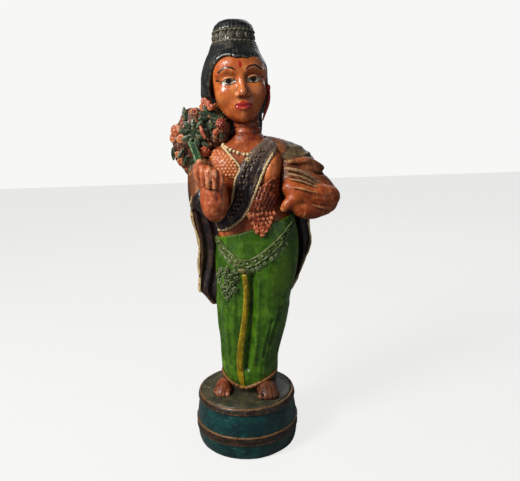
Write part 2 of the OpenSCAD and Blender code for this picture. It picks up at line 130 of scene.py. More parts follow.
def egg(centre, radii, turn=None):
    """An ellipsoid; the columns of turn are its own axes."""
    c, r = np.array(centre, float), np.array(radii, float) * np.ones(3)

    def distance(x, y, z):
        px, py, pz = x - c[0], y - c[1], z - c[2]
        if turn is not None:
            m = turn
            px, py, pz = (m[0, i] * px + m[1, i] * py + m[2, i] * pz for i in range(3))
        k0 = np.sqrt((px / r[0]) ** 2 + (py / r[1]) ** 2 + (pz / r[2]) ** 2)
        k1 = np.sqrt((px / r[0] ** 2) ** 2 + (py / r[1] ** 2) ** 2 + (pz / r[2] ** 2) ** 2)
        return k0 * (k0 - 1) / (k1 + 1e-6)

    reach = r if turn is None else np.ones(3) * r.max()
    return Shape(distance, c - reach, c + reach)


def level_of(table, x, z):
    """The station height of the tilted ring that passes through x, z."""
    level = z + 0 * x
    for _ in range(3):
        level = z - np.interp(level, table[:, 0], table[:, 5]) * (
            x - np.interp(level, table[:, 0], table[:, 1]))
    return level


def loft(table, x, y, z):
    """Distance to an upright body of oval rings: height, centre x, y, half width, depth, tilt."""
    level = level_of(table, x, z)
    cx, cy, rx, ry = (np.interp(level, table[:, 0], table[:, k]) for k in (1, 2, 3, 4))
    px, py = x - cx, y - cy
    k0 = np.sqrt((px / rx) ** 2 + (py / ry) ** 2)
    k1 = np.sqrt((px / rx ** 2) ** 2 + (py / ry ** 2) ** 2)
    return k0 * (k0 - 1) / (k1 + 1e-6)


def lane(points, x, z, steps=5):
    """In the front view: distance from the middle of a line through x, height, half width; the
    half width there; and how far along the line the nearest point is."""
    run = refine(points, steps)
    best, wide, place, gone = None, None, None, 0.0
    for a, b in zip(run[:-1], run[1:]):
        ab = b[:2] - a[:2]
        length = math.hypot(*ab)
        h = np.clip(((x - a[0]) * ab[0] + (z - a[1]) * ab[1]) / (length ** 2 + 1e-9), 0, 1)
        d = np.hypot(x - a[0] - h * ab[0], z - a[1] - h * ab[1])
        w, s = a[2] + h * (b[2] - a[2]), gone + h * length
        if best is None:
            best, wide, place = d, w + 0 * d, s + 0 * d
        else:
            near = d - w < best - wide
            best, wide, place = np.where(near, d, best), np.where(near, w, wide), np.where(near, s, place)
        gone += length
    return best, wide, place


def folds(x, z, lines):
    """The sum of ridges along lines in the front view: each is points of x, height, with its
    spread and its height, which is below zero for a groove."""
    total = 0
    for points, spread, amount in lines:
        d, _, _ = lane([(*p, 0) for p in points], x, z, 3)
        total = total + amount * hill(d, spread)
    return total


def front_of(form, x, z):
    """Where lines along +Y, from in front of the figure to its middle, first meet a form."""
    x, z = np.atleast_1d(np.array(x, float)), np.atleast_1d(np.array(z, float))
    lo, hi = np.full(len(x), -45.0), np.zeros(len(x))
    for _ in range(14):
        mid = (lo + hi) / 2
        inside = form(x, mid, z) < 0
        hi, lo = np.where(inside, mid, hi), np.where(inside, lo, mid)
    return (lo + hi) / 2


def on_front(form, spots, lift=0.0):
    """Points on the front of a form at each x, height."""
    s = np.array(spots, float)
    return np.column_stack([s[:, 0], front_of(form, s[:, 0], s[:, 1]) - lift, s[:, 1]])


def axes_from(normal, roll=0.0):
    """A turn whose third axis is normal and whose first is turned by roll degrees from sideways."""
    n = unit(normal)
    side = unit(np.cross([0, 0, 1], n) if abs(n[2]) < 0.95 else [1, 0, 0])
    up = np.cross(n, side)
    c, s = math.cos(math.radians(roll)), math.sin(math.radians(roll))
    return np.column_stack([c * side + s * up, -s * side + c * up, n])


class Clay:
    """A lump on a grid of the given cell, in mm. Below zero is inside."""

    def __init__(self, low, high, cell):
        self.cell = cell * COARSE
        self.low = np.array(low, float)
        n = np.ceil((np.array(high, float) - self.low) / self.cell).astype(int) + 1
        self.axes = [self.low[i] + self.cell * np.arange(n[i]) for i in range(3)]
        self.x = self.axes[0].reshape(-1, 1, 1)
        self.y = self.axes[1].reshape(1, -1, 1)
        self.z = self.axes[2].reshape(1, 1, -1)
        self.d = np.full(n, FAR)

    def window(self, low, high, pad):
        s = []
        for i in range(3):
            a = np.searchsorted(self.axes[i], low[i] - pad)
            b = np.searchsorted(self.axes[i], high[i] + pad)
            s.append(slice(max(a, 0), min(b + 1, len(self.axes[i]))))
        return tuple(s), self.x[s[0]], self.y[:, s[1]], self.z[:, :, s[2]]

    def add(self, shape, k=1.0):
        s, x, y, z = self.window(shape.low, shape.high, k + 1.5)
        if min(self.d[s].shape) > 0:
            self.d[s] = soft_min(self.d[s], shape.distance(x, y, z), k)
        return self

    def cut(self, shape, k=1.0):
        s, x, y, z = self.window(shape.low, shape.high, k + 1.5)
        if min(self.d[s].shape) > 0:
            self.d[s] = soft_max(self.d[s], -shape.distance(x, y, z), k)
        return self

    def rope(self, points, radii, k=0.6, steps=4, cut=False):
        """A round rope through points; radii is one number or one per point."""
        pts = np.array(points, float)
        run = np.column_stack([pts, np.array(radii, float) * np.ones(len(pts))])
        run = refine(run, steps)
        top = run[:, 3].max()
        s, _, _, _ = self.window(run[:, :3].min(0) - top, run[:, :3].max(0) + top, k + 1.5)
        if min(self.d[s].shape) == 0:
            return self
        field = np.full(self.d.shape, FAR) if self.d[s].size > 0.5 * self.d.size else None
        scratch = field if field is not None else np.full(self.d[s].shape, FAR)
        shift = (0, 0, 0) if field is not None else tuple(i.start for i in s)
        for a, b in zip(run[:-1], run[1:]):
            low = np.minimum(a[:3] - a[3], b[:3] - b[3])
            high = np.maximum(a[:3] + a[3], b[:3] + b[3])
            w, x, y, z = self.window(low, high, k + 1.5)
            v = tuple(slice(max(i.start - o, 0), max(i.stop - o, 0)) for i, o in zip(w, shift))
            part = scratch[v]
            if min(part.shape) == 0:
                continue
            x, y, z = x[:part.shape[0]], y[:, :part.shape[1]], z[:, :, :part.shape[2]]
            ab = b[:3] - a[:3]
            px, py, pz = x - a[0], y - a[1], z - a[2]
            h = np.clip((px * ab[0] + py * ab[1] + pz * ab[2]) / (ab @ ab + 1e-9), 0, 1)
            d = np.sqrt((px - h * ab[0]) ** 2 + (py - h * ab[1]) ** 2 + (pz - h * ab[2]) ** 2)
            scratch[v] = np.minimum(part, d - (a[3] + h * (b[3] - a[3])))
        if field is not None:
            scratch = scratch[s]
        self.d[s] = soft_max(self.d[s], -scratch, k) if cut else soft_min(self.d[s], scratch, k)
        return self

    def keep(self, distance, k=0.6):
        """Keeps what lies where distance, an array on this grid, is below zero."""
        self.d = soft_max(self.d, distance + np.zeros_like(self.d), k)
        return self


def net(clay):
    """Corners in mm and four-sided faces of the clay's surface."""
    d = clay.d.copy()
    for i in range(3):
        for end in (0, -1):
            edge = [slice(None)] * 3
            edge[i] = end
            d[tuple(edge)] = np.maximum(d[tuple(edge)], 0.5)
    shape = d.shape
    stride = np.array([shape[1] * shape[2], shape[2], 1])
    flat = d.ravel()
    ids, places = [], []
    for axis in range(3):
        lower, upper = [slice(None)] * 3, [slice(None)] * 3
        lower[axis], upper[axis] = slice(None, -1), slice(1, None)
        at = np.argwhere((d[tuple(lower)] < 0) != (d[tuple(upper)] < 0))
        start = at @ stride
        a, b = flat[start], flat[start + stride[axis]]
        place = at.astype(float)
        place[:, axis] += a / (a - b)
        u, v = stride[(axis + 1) % 3], stride[(axis + 2) % 3]
        around = np.stack([start, start - u, start - u - v, start - v], 1)
        around[a >= 0] = around[a >= 0][:, ::-1]
        ids.append(around.ravel())
        places.append(np.repeat(place, 4, axis=0))
    _, index = np.unique(np.concatenate(ids), return_inverse=True)
    places = np.concatenate(places)
    count = np.bincount(index)
    points = np.stack([np.bincount(index, places[:, i]) / count for i in range(3)], 1)
    return points * clay.cell + clay.low, index.reshape(-1, 4)


def edges_of(faces):
    n = faces.shape[1]
    pairs = np.concatenate([faces[:, [i, (i + 1) % n]] for i in range(n)])
    pairs = np.sort(pairs, 1).astype(np.int64)
    key = np.unique(pairs[:, 0] * (pairs.max() + 1) + pairs[:, 1])
    return np.stack([key // (pairs.max() + 1), key % (pairs.max() + 1)], 1)


def smooth_over(values, edges, rounds):
    a, b = edges[:, 0], edges[:, 1]
    n = len(values)
    degree = np.bincount(a, minlength=n) + np.bincount(b, minlength=n) + 1.0
    for _ in range(rounds):
        values = (values + np.bincount(a, values[b], n) + np.bincount(b, values[a], n)) / degree
    return values


def normals_of(points, faces):
    p = points[faces]
    face = np.cross(p[:, 2] - p[:, 0], p[:, 3] - p[:, 1])
    n = np.zeros_like(points)
    for i in range(faces.shape[1]):
        for k in range(3):
            n[:, k] += np.bincount(faces[:, i], face[:, k], len(points))
    return n / (np.linalg.norm(n, axis=1, keepdims=True) + 1e-12)


def hollows(points, normals, edges):
    """How hollow each point is, positive in a recess: finely, and over a wider area."""
    a, b = edges[:, 0], edges[:, 1]
    n = len(points)
    degree = np.bincount(a, minlength=n) + np.bincount(b, minlength=n) + 1e-9
    mean = np.stack([(np.bincount(a, points[b, k], n) + np.bincount(b, points[a, k], n)) / degree
                     for k in range(3)], 1)
    step = np.linalg.norm(points[a] - points[b], axis=1).mean()
    bend = np.einsum("ij,ij->i", mean - points, normals) / step ** 2
    fine = smooth_over(bend, edges, 2)
    wide = smooth_over(fine, edges, 12)
    return np.clip(fine * 1.2, -1, 1), np.clip(wide * 3.0, -1, 1)


# ---------------------------------------------------------------- paint
def paint(red, green, blue):
    """A linear colour from 0-255 screen values."""
    def linear(v):
        v /= 255
        return v / 12.92 if v <= 0.04045 else ((v + 0.055) / 1.055) ** 2.4
    return (linear(red), linear(green), linear(blue), 1.0)


EVEN = (1, 1, 1)


class Look:
    """A node material being put together; coordinates are the row frame's, in metres."""

    def __init__(self, name):
        self.material = bpy.data.materials.new(name)
        self.material.use_nodes = True
        self.tree = self.material.node_tree
        self.shader = self.tree.nodes["Principled BSDF"]
        self.place = self.tree.nodes.new("ShaderNodeTexCoord").outputs["Object"]

    def feed(self, socket, value):
        if isinstance(value, bpy.types.NodeSocket):
            self.tree.links.new(value, socket)
        else:
            socket.default_value = value

    def node(self, kind, inputs, **settings):
        """Adds a node, sets it up, feeds its inputs and gives back its outputs."""
        node = self.tree.nodes.new("ShaderNode" + kind)
        for name, value in settings.items():
            setattr(node, name, value)
        for name, value in inputs.items():
            self.feed(node.inputs[name], value)
        return node.outputs

    def noise(self, size, detail=3.0, rough=0.55, stretch=EVEN, shift=0.0):
        """Noise from about 0.3 to 0.7 whose lumps are size mm across."""
        mapped = self.node("Mapping", {"Vector": self.place, "Scale": stretch,
                                       "Location": (shift, shift * 0.7, shift * 1.3)})
        return self.node("TexNoise", {"Vector": mapped["Vector"], "Scale": 1 / (size * MM),
                                      "Detail": detail, "Roughness": rough})["Fac"]

    def cracks(self, size, width):
        """1 along the edges of cells size mm across, and 0 elsewhere."""
        cells = self.node("TexVoronoi", {"Vector": self.place, "Scale": 1 / (size * MM)},
                          feature="DISTANCE_TO_EDGE")
        return self.fade(cells["Distance"], width, 0.0)

    def mark(self, name):
        return self.node("Attribute", {}, attribute_name=name)["Fac"]

    def fade(self, value, low, high):
        """0 where value is at low, 1 where it is at high, and smooth between."""
        return self.node("MapRange", {"Value": value, "From Min": low, "From Max": high},
                         interpolation_type="SMOOTHSTEP")["Result"]

    def between(self, noise, low, high):
        """Spreads noise's usual range over low to high."""
        return self.node("MapRange", {"Value": noise, "From Min": 0.3, "From Max": 0.7,
                                      "To Min": low, "To Max": high})["Result"]

    def sum(self, a, b, kind="ADD"):
        return self.node("Math", {0: a, 1: b}, operation=kind)["Value"]

    def times(self, a, b):
        return self.sum(a, b, "MULTIPLY")

    def mix(self, factor, a, b):
        return self.node("Mix", {"Factor": factor, "A": a, "B": b}, data_type="RGBA")["Result"]

    def contact_shade(self):
        """Painted shade: 1 in corners that other pieces close in, and 0 in the open."""
        shade = self.node("AmbientOcclusion", {"Distance": 2.5 * MM}, samples=4)
        return self.fade(shade["AO"], 0.85, 0.25)


# The tone of soil and of painted shade in the hollows, also used for stains and grain.
SOIL_AND_SHADE = (38, 27, 18)
DUST = (122, 106, 80)


def enamel(name, colours, worn=None, grime_and_shade=SOIL_AND_SHADE, dirt_and_shade=1.0, wear=0.6, gloss=0.36, coat=0.12,
           streak=(1, 1, 0.35), dust=0.03, marks=(), streaks=0.3):
    """Old gloss paint on clay: colours are its main, darker and lighter tones.
    soil and painted shade fill the hollows and tight corners, wear rubs the ridges, and dust lies in patches.
    marks are (attribute, colour, edge in mm) for what is painted over it where the attribute is
    below zero."""
    look = Look(name)
    main, dark, light = (paint(*tone) for tone in colours)
    worn, grime_and_shade = paint(*worn) if worn else light, paint(*grime_and_shade)
    broad, fine = look.noise(9, 4, 0.6), look.noise(1.6, 4, 0.6, streak, 3.1)
    colour = look.mix(look.fade(broad, 0.42, 0.62), dark, main)
    colour = look.mix(look.fade(look.noise(5, 5, 0.65, streak, 7.7), 0.52, 0.70), colour, light)
    colour = look.mix(look.times(look.fade(fine, 0.56, 0.72), streaks), colour, dark)
    wash = look.fade(look.noise(26, 2, 0.5, (1, 1, 0.8), 21.0), 0.40, 0.62)
    colour = look.mix(look.times(wash, 0.45), colour, dark)
    for attribute, tone, edge in marks:
        over = paint(*tone)
        value = look.sum(look.mark(attribute), look.between(look.noise(1.1, 3), -edge, edge))
        over = look.mix(look.fade(look.noise(1.5, 3, 0.6, EVEN, 5.2), 0.35, 0.7), over,
                        tuple(0.62 * v for v in over[:3]) + (1.0,))
        colour = look.mix(look.fade(value, 0.12, -0.12), colour, over)
    ridge = look.sum(look.times(look.mark("fine"), -0.8),
                     look.times(look.mark("wide"), -0.8))
    rub = look.sum(ridge, look.between(look.noise(2.2, 5, 0.7, EVEN, 1.9), -0.35, 0.35))
    colour = look.mix(look.times(look.fade(rub, 0.30, 0.75), wear), colour, worn)
    # Painted shade and soil: darker in hollows and in corners that other pieces close in.
    hollow = look.sum(look.mark("fine"), look.times(look.mark("wide"), 1.2))
    hollow = look.sum(hollow, look.times(look.contact_shade(), 0.9))
    hollow = look.sum(hollow, look.between(look.noise(2.6, 5, 0.7, EVEN, 4.4), -0.35, 0.35))
    soil_and_shade_mask = look.times(look.fade(hollow, 0.05, 0.85), min(dirt_and_shade, 1.0) * 0.92)
    colour = look.mix(soil_and_shade_mask, colour, grime_and_shade)
    stain = look.fade(look.noise(6.5, 6, 0.7, (1, 1, 0.6), 12.8), 0.56, 0.74)
    colour = look.mix(look.times(stain, 0.45 * dirt_and_shade), colour, grime_and_shade)
    grain = look.fade(look.noise(0.5, 2, 0.5, EVEN, 6.6), 0.62, 0.72)
    colour = look.mix(look.times(grain, 0.35 * dirt_and_shade), colour, grime_and_shade)
    if dust > 0:
        haze = look.fade(look.noise(3.7, 5, 0.65, EVEN, 2.7), 0.5, 0.72)
        colour = look.mix(look.times(haze, dust), colour, paint(*DUST))
    look.feed(look.shader.inputs["Base Color"], colour)
    rough = look.between(look.noise(2.4, 4, 0.6, EVEN, 8.1), gloss * 0.65, gloss * 1.6)
    rough = look.sum(rough, look.times(soil_and_shade_mask, 0.35))
    look.feed(look.shader.inputs["Roughness"], rough)
    for socket, value in (("Specular IOR Level", 0.3), ("Coat Weight", coat), ("Coat Roughness", 0.16)):
        look.shader.inputs[socket].default_value = value
    height = look.sum(look.noise(0.9, 4, 0.6, streak, 0.4), look.times(look.noise(0.3, 2), 0.35))
    height = look.sum(height, look.times(look.cracks(7, 0.02), -0.5))
    bump = look.node("Bump", {"Strength": 0.55, "Distance": 0.25 * MM, "Height": height})
    look.feed(look.shader.inputs["Normal"], bump["Normal"])
    return look.material


# ---------------------------------------------------------------- pieces
HAND_WORKED = ((7, 0.22), (1.6, 0.07))  # unevenness: the size of its lumps and their height


def as_mesh(name, points, faces, marks):
    mesh = bpy.data.meshes.new(name)
    mesh.vertices.add(len(points))
    mesh.vertices.foreach_set("co", (points * MM).astype(np.float32).ravel())
    mesh.loops.add(faces.size)
    mesh.loops.foreach_set("vertex_index", faces.astype(np.int32).ravel())
    mesh.polygons.add(len(faces))
    mesh.polygons.foreach_set("loop_start", np.arange(0, faces.size, faces.shape[1], dtype=np.int32))
    mesh.polygons.foreach_set("use_smooth", np.ones(len(faces), bool))
    mesh.update(calc_edges=True)
    mesh.validate()
    for key, values in marks.items():
        mesh.attributes.new(key, "FLOAT", "POINT").data.foreach_set("value", values.astype(np.float32))
    return mesh


def marks_at(points, marks):
    """The value at each point of the painted marks, given as functions of x, y, z."""
    return {name: distance(*points.T) for name, distance in (marks or {}).items()}


def place_piece(points, faces, material, node, marks=None, uneven=HAND_WORKED):
    """Adds a piece of the figure: roughens it as hand-worked clay, notes its hollows and paints it."""
    normals = normals_of(points, faces)
    for turn, (size, amount) in enumerate(uneven):
        points = points + normals * (amount * cloudy(points, size, 11 + turn))[:, None]
    points[:, 2] = np.maximum(points[:, 2], 0)
    edges = edges_of(faces)
    fine, wide = hollows(points, normals_of(points, faces), edges)
    mesh = as_mesh(f"{node}_clay", points, faces, {"fine": fine, "wide": wide, **(marks or {})})
    piece = bpy.data.objects.new(mesh.name, mesh)
    bpy.context.scene.collection.objects.link(piece)
    mesh.materials.append(material)
    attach(piece, "root")
    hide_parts(node)
    return piece


def sculpt(node, clay, material, marks=None, uneven=HAND_WORKED):
    """A piece of clay standing for a CAD node, lifted onto the drum."""
    points, faces = net(clay)
    values = marks_at(points, marks)
    points = points + np.array([0, 0, GROUND])
    return place_piece(points, faces, material, node, values, uneven)


def unmarked(x, y, z):
    """A painted mark that covers nothing of a piece."""
    return 5 + 0 * x


def turned(node, profile, material, uneven=((14, 0.35), (3, 0.12)), step=0.9, segments=180,
           marks=None):
    """A thrown ring or disc: profile is its closed outline of radius and height, anticlockwise."""
    outline = []
    corners = [np.array(p, float) for p in profile]
    for a, b in zip(corners, corners[1:] + corners[:1]):
        n = max(1, int(round(np.linalg.norm(b - a) / step)))
        outline += [a + (b - a) * i / n for i in range(n)]
    o = np.array(outline)
    o = (o + 0.5 * (np.roll(o, 1, 0) + np.roll(o, -1, 0))) / 2
    n = len(o)
    angles = 2 * np.pi * np.arange(segments) / segments
    points = np.stack([np.outer(np.cos(angles), o[:, 0]), np.outer(np.sin(angles), o[:, 0]),
                       np.tile(o[:, 1], (segments, 1))], 2).reshape(-1, 3)
    i, j = np.meshgrid(np.arange(segments), np.arange(n), indexing="ij")
    i2, j2 = (i + 1) % segments, (j + 1) % n
    faces = np.stack([i * n + j, i2 * n + j, i2 * n + j2, i * n + j2], 2).reshape(-1, 4)
    return place_piece(points, faces, material, node, marks_at(points, marks), uneven)


# ---------------------------------------------------------------- the body's forms
# Forms are rows of height, centre x, centre y, half width, half depth and sideways tilt.
SKIRT = refine([
    [0, 3.6, 0, 18.3, 14, 0], [10, 3.4, 0, 20, 16, 0], [23, 3.5, 0, 20.8, 17, 0],
    [37, 5, 0, 22.6, 18, 0.02], [56, 7, 0, 25.4, 19, 0.05], [70, 8, 0, 27, 19.8, 0.08],
    [87, 10.3, 0, 29.2, 20.6, 0.12], [105, 11, 0, 29.8, 21, 0.2], [121, 10, 0, 27.5, 20, 0.28]], 4)
TORSO = refine([
    [121, 10, 0, 26, 19, 0.28], [130, 8, 0, 25, 18.6, 0.2], [140, 6.5, 0, 25.5, 19, 0.12],
    [150, 5.5, 0, 27.5, 19.6, 0.06], [160, 5, 0, 29.5, 19.2, 0], [168, 5, 0, 29.5, 17.6, 0],
    [174, 5, 0, 26, 15.2, 0], [178, 5.5, 0, 20, 12.8, 0], [182, 6.2, 0, 11.5, 10.5, 0]], 4)
HAIR = refine([
    [199, -.5, 7, 19.5, 13, 0], [206, -1, 4, 22.6, 20, 0], [215, -1.2, 3, 22.8, 22.5, 0],
    [222, -1.2, 2.5, 22.4, 23, 0], [229, -.6, 2.2, 21.4, 22.6, 0], [234, -.8, 2, 19.2, 20.5, 0],
    [238, -.8, 1.6, 17.2, 18, 0], [242, -.8, 1, 15.6, 15.6, 0]], 4)
NECK = refine([
    [178, 6.2, 0, 16.5, 12.6, 0], [181, 6.2, 0, 13.4, 11.4, 0], [184.5, 6.2, 0, 10.8, 10.2, 0],
    [190, 6.2, 0, 9.2, 9.4, 0], [196, 5.4, 0, 9.4, 9.8, 0], [203, 4.6, 0, 10, 10.4, 0]], 4)
# height, left edge, right edge, front and back
CLOAK = refine([
    [62, -24, 34, 4, 22.5], [72, -33, 37, 5, 23.5], [80, -33.5, 41, 6, 24.5], [92, -33, 47, 7, 25],
    [105, -32.5, 51, 7, 25.5], [125, -35.5, 50.5, 6, 25.5], [140, -38, 50, 5, 25],
    [155, -37.5, 49, 4, 24.5], [165, -35, 44, 3, 23.5], [172, -28, 36, 2, 21],
    [178, -17, 24, 2, 18], [182, -7, 18, 3, 15.5]], 4)
# Lines laid on the front are points of x, height and half width.
SASH = [[-17, 112, 2.2], [-12.5, 106.5, 2.4], [-6, 101, 2.6], [0.6, 97.8, 2.8], [7, 98.8, 2.8],
        [14, 103, 2.7], [23, 109.5, 2.6], [31, 117, 2.4], [36, 122.5, 2.2]]
PLEAT = [[1.4, 89, 1.9], [2.2, 76, 2.1], [1, 61, 2.2], [-1, 48, 2.3], [-3, 36, 2.4],
         [-4, 24, 2.4], [-3.4, 12, 2.2], [-2, 5, 1.4]]
HEM = [[-17, 12, 1.6], [-12, 8, 1.6], [-2, 4.2, 1.6], [8, 7, 1.6], [17, 10.5, 1.6], [22, 12.6, 1.6]]
SCARF = [[24, 179, 5], [15, 170, 7], [8.5, 161, 8], [4, 149, 7], [1, 139, 6.2], [-5, 130.5, 5.6],
         [-13, 124.5, 5]]
SCARF_RIGHT = [[-11, 177, 1.2], [-4, 169, 1.2], [0.5, 162, 1.2], [-2.6, 155, 1.2],
               [-4.6, 145, 1.2], [-6.4, 137, 1.2], [-13, 130, 1.2]]
SCARF_LEFT = [[23, 171, 1.3], [18, 163.5, 1.4], [12.4, 151, 1.5], [8, 141, 1.4], [4.4, 133.5, 1.4],
              [-1.2, 127, 1.6], [-8.8, 121.6, 1.8], [-16, 119.6, 1.6]]
GARLAND = [[24.5, 152, 4.4], [20.5, 146, 7], [16.5, 139, 9], [14.5, 132, 9.5], [14, 125.5, 7],
           [15, 121.6, 3]]
NECKLACE = [[-11.5, 178.6], [-4, 173.6], [6.2, 171], [14.5, 174.6], [19.5, 179.4]]
# Limbs are points of x, y, height and radius.
LEFT_UPPER = [[28, 1, 171, 2.5], [31, 0.5, 169, 7.5], [37, 0, 164, 9.8], [46, -1, 154, 10.6],
              [54, -3, 144.5, 11.4], [58.5, -4.5, 139, 10.2], [61.5, -5, 134, 5]]
RIGHT_UPPER = [[-20, 1, 171, 2.5], [-23, 0, 168, 7.5], [-26, -3, 161, 9.4], [-25, -9, 151, 9.4],
               [-22, -17, 141, 9], [-19, -22, 136, 6]]
KNOT = (-0.8, 1.0, 242.0)

# points of x and height, with the fold's spread and height
SKIRT_FOLDS = [
    ([(19, 98), (20, 80), (20, 62), (19, 48)], 9, 3.0), ([(-8, 96), (-9, 74), (-10, 50)], 8, 2.0),
    ([(7, 88), (6, 72), (5, 54), (3, 36), (1, 20)], 2.3, -3.0),
    ([(11, 84), (10, 66), (8.5, 46), (6, 24)], 1.6, 0.9),
    ([(29, 70), (25, 56), (20.5, 42), (17, 24)], 1.5, 1.0), ([(31, 60), (27, 46), (23, 30)], 1.3, -1.0),
    ([(24, 62), (19, 48), (15, 33), (13, 14)], 1.4, 1.0), ([(26, 64), (21.5, 50), (17.5, 36)], 1.2, -1.0),
    ([(18, 52), (13.5, 38), (11, 22), (10, 10)], 1.4, 0.9), ([(20, 56), (16, 42), (13, 28)], 1.1, -0.9),
    ([(-14, 92), (-14, 62), (-12, 34), (-11, 10)], 1.5, 0.8), ([(-17, 84), (-17, 56), (-15, 22)], 1.3, -0.9),
    ([(-6, 84), (-7, 56), (-8, 30), (-7, 10)], 1.4, 0.7), ([(-10, 84), (-10.6, 56), (-10, 22)], 1.2, -0.8),
    ([(-20, 70), (-19, 46), (-17, 16)], 1.4, 0.8), ([(30, 92), (33, 78), (33, 66)], 1.6, -0.9),
    ([(-14, 106), (-6, 97), (0, 94)], 1.2, -0.7)]


def facing_front(y, edge=3.0, depth=8.0):
    return ramp(edge, edge - depth, y)


def skirt_form(x, y, z):
    d = loft(SKIRT, x, y, z) - folds(x, z, SKIRT_FOLDS) * facing_front(y)
    turn = np.arctan2(y, x - 5)
    behind = ramp(-4, 6, y) * (0.7 * np.sin(13 * turn + 0.05 * z) + 0.4 * np.sin(29 * turn - 0.03 * z))
    return d - behind * ramp(75, 30, z)


def torso_form(x, y, z):
    d = loft(TORSO, x, y, z)
    front = facing_front(y)
    px, pz = x - 22.5 - 0.18 * (z - 161), z - 161
    breast = np.hypot(px / (7.2 - 0.16 * pz), pz / 12.5)
    lump = 5.2 * ramp(1.15, 0.3, breast) + 1.4 * hill(np.hypot((x + 11) / 9, (z - 162) / 8), 1)
    lump = lump + 1.5 * hill(np.hypot((x - 6) / 14, (z - 138) / 10), 1)
    crease = -1.2 * hill(np.hypot((x - 31) / 3, (z - 153) / 13), 1)
    return d - (lump + crease) * front


def neck_form(x, y, z):
    rings = sum(hill(z - h - 0.03 * (x - 6) ** 2 / 3, 0.7) for h in (184.2, 188.4, 192.6))
    return loft(NECK, x, y, z) + 0.55 * rings * facing_front(y, 6, 10)


def form_clay(form, low, high, cell, floor=None, top=None):
    clay = Clay(low, high, cell)
    clay.d = form(clay.x, clay.y, clay.z) + np.zeros_like(clay.d)
    if floor is not None:
        clay.keep(floor - clay.z, 0.8)
    if top is not None:
        clay.keep(clay.z - top, 0.8)
    return clay


SUNK = 0.7  # how far laid clay goes into what it lies on
MARGIN = 4.0  # the room left round a laid line for its own thickness


def laid(form, path, cell, height, soft=1.0):
    """Clay laid on the front of a form along a path; height(across, along, half) is its thickness
    at a distance from the middle and along the line."""
    run = refine(path, 5)
    low = [(run[:, 0] - run[:, 2]).min() - MARGIN, 0, (run[:, 1] - run[:, 2]).min() - MARGIN]
    high = [(run[:, 0] + run[:, 2]).max() + MARGIN, 0, (run[:, 1] + run[:, 2]).max() + MARGIN]
    y = front_of(form, run[:, 0], run[:, 1])
    low[1], high[1] = y.min() - 8, min(y.max() + 8, 6)
    clay = Clay(low, high, cell)
    body = form(clay.x, clay.y, clay.z)
    across, half, along = lane(path, clay.x, clay.z)
    thick = height(across, along, half)
    clay.d = soft_max(body - thick, across - half + np.zeros_like(body), soft)
    clay.keep(-(body + SUNK), 0.3)
    clay.keep(clay.y - 4.0 + np.zeros_like(body), 0.3)
    return clay


# ---------------------------------------------------------------- paints
# The torso paint has a painted shadow round the breast and a painted highlight on it.
body_paint = enamel("body_enamel", ((172, 86, 42), (128, 54, 22), (200, 122, 72)),
                    worn=(206, 140, 92), grime_and_shade=(44, 16, 8), dirt_and_shade=1.0, wear=0.5,
                    marks=(("shadow", (104, 44, 20), 0.12), ("swell", (214, 116, 58), 0.12)))
arm = enamel("arm_enamel", ((196, 104, 62), (146, 62, 30), (224, 146, 104)),
             worn=(220, 160, 116), grime_and_shade=(48, 14, 8), dirt_and_shade=1.1, wear=0.6)
shaded_arm = enamel("shaded_arm_enamel", ((186, 92, 40), (138, 58, 22), (208, 128, 76)),
                    worn=(218, 152, 100), grime_and_shade=(44, 18, 8), dirt_and_shade=1.1, wear=0.6)
EYE_MARKS = (("white", (226, 214, 192), 0.06), ("iris", (30, 20, 16), 0.05),
             ("line", (20, 15, 13), 0.06), ("brow", (22, 17, 15), 0.10),
             ("lips", (176, 30, 26), 0.10), ("spot", (176, 28, 22), 0.10))
face = enamel("face_enamel", ((204, 114, 54), (172, 82, 34), (224, 148, 86)),
              worn=(232, 168, 112), grime_and_shade=(60, 26, 12), dirt_and_shade=0.5, wear=0.3, coat=0.4,
              gloss=0.30, marks=EYE_MARKS)
throat = enamel("throat_enamel", ((150, 66, 28), (106, 38, 14), (184, 98, 50)),
                grime_and_shade=(40, 14, 8), dirt_and_shade=1.1, wear=0.4)
hair = enamel("hair_enamel", ((40, 42, 37), (18, 21, 20), (66, 67, 57)),
              worn=(104, 100, 86), grime_and_shade=(12, 11, 10), dirt_and_shade=0.8, wear=0.5, gloss=0.32,
              coat=0.4, dust=0.2, marks=(("rim", (14, 20, 23), 0.8),))
coil_paint = enamel("coil_enamel", ((56, 56, 46), (26, 28, 24), (88, 83, 68)),
                    worn=(112, 104, 86), grime_and_shade=(14, 13, 11), wear=0.7, dust=0.15)
# The green paint's tone for soil and painted shade.
GREEN_SOIL_AND_SHADE = (24, 34, 6)
green = enamel("green_enamel", ((70, 112, 16), (44, 80, 8), (98, 138, 34)),
               worn=(128, 152, 66), grime_and_shade=GREEN_SOIL_AND_SHADE, dirt_and_shade=0.9, wear=0.5, gloss=0.32,
               coat=0.2, streak=(1, 1, 0.3), streaks=0.12,
               marks=(("lit", (100, 142, 26), 0.2), ("under", (54, 52, 36), 0.5)))
ochre = enamel("ochre_enamel", ((146, 122, 4), (112, 92, 2), (176, 154, 24)),
               grime_and_shade=(60, 56, 6), worn=(196, 176, 60), dirt_and_shade=0.8)
hem_look = enamel("hem_enamel", ((118, 76, 36), (80, 46, 20), (146, 100, 54)),
                  grime_and_shade=(34, 20, 8), dirt_and_shade=1.1)
foot_look = enamel("foot_enamel", ((160, 92, 60), (114, 52, 30), (190, 122, 84)),
                   grime_and_shade=(40, 20, 12), dirt_and_shade=1.1, marks=(("toe_lines", (74, 36, 22), 0.2),))
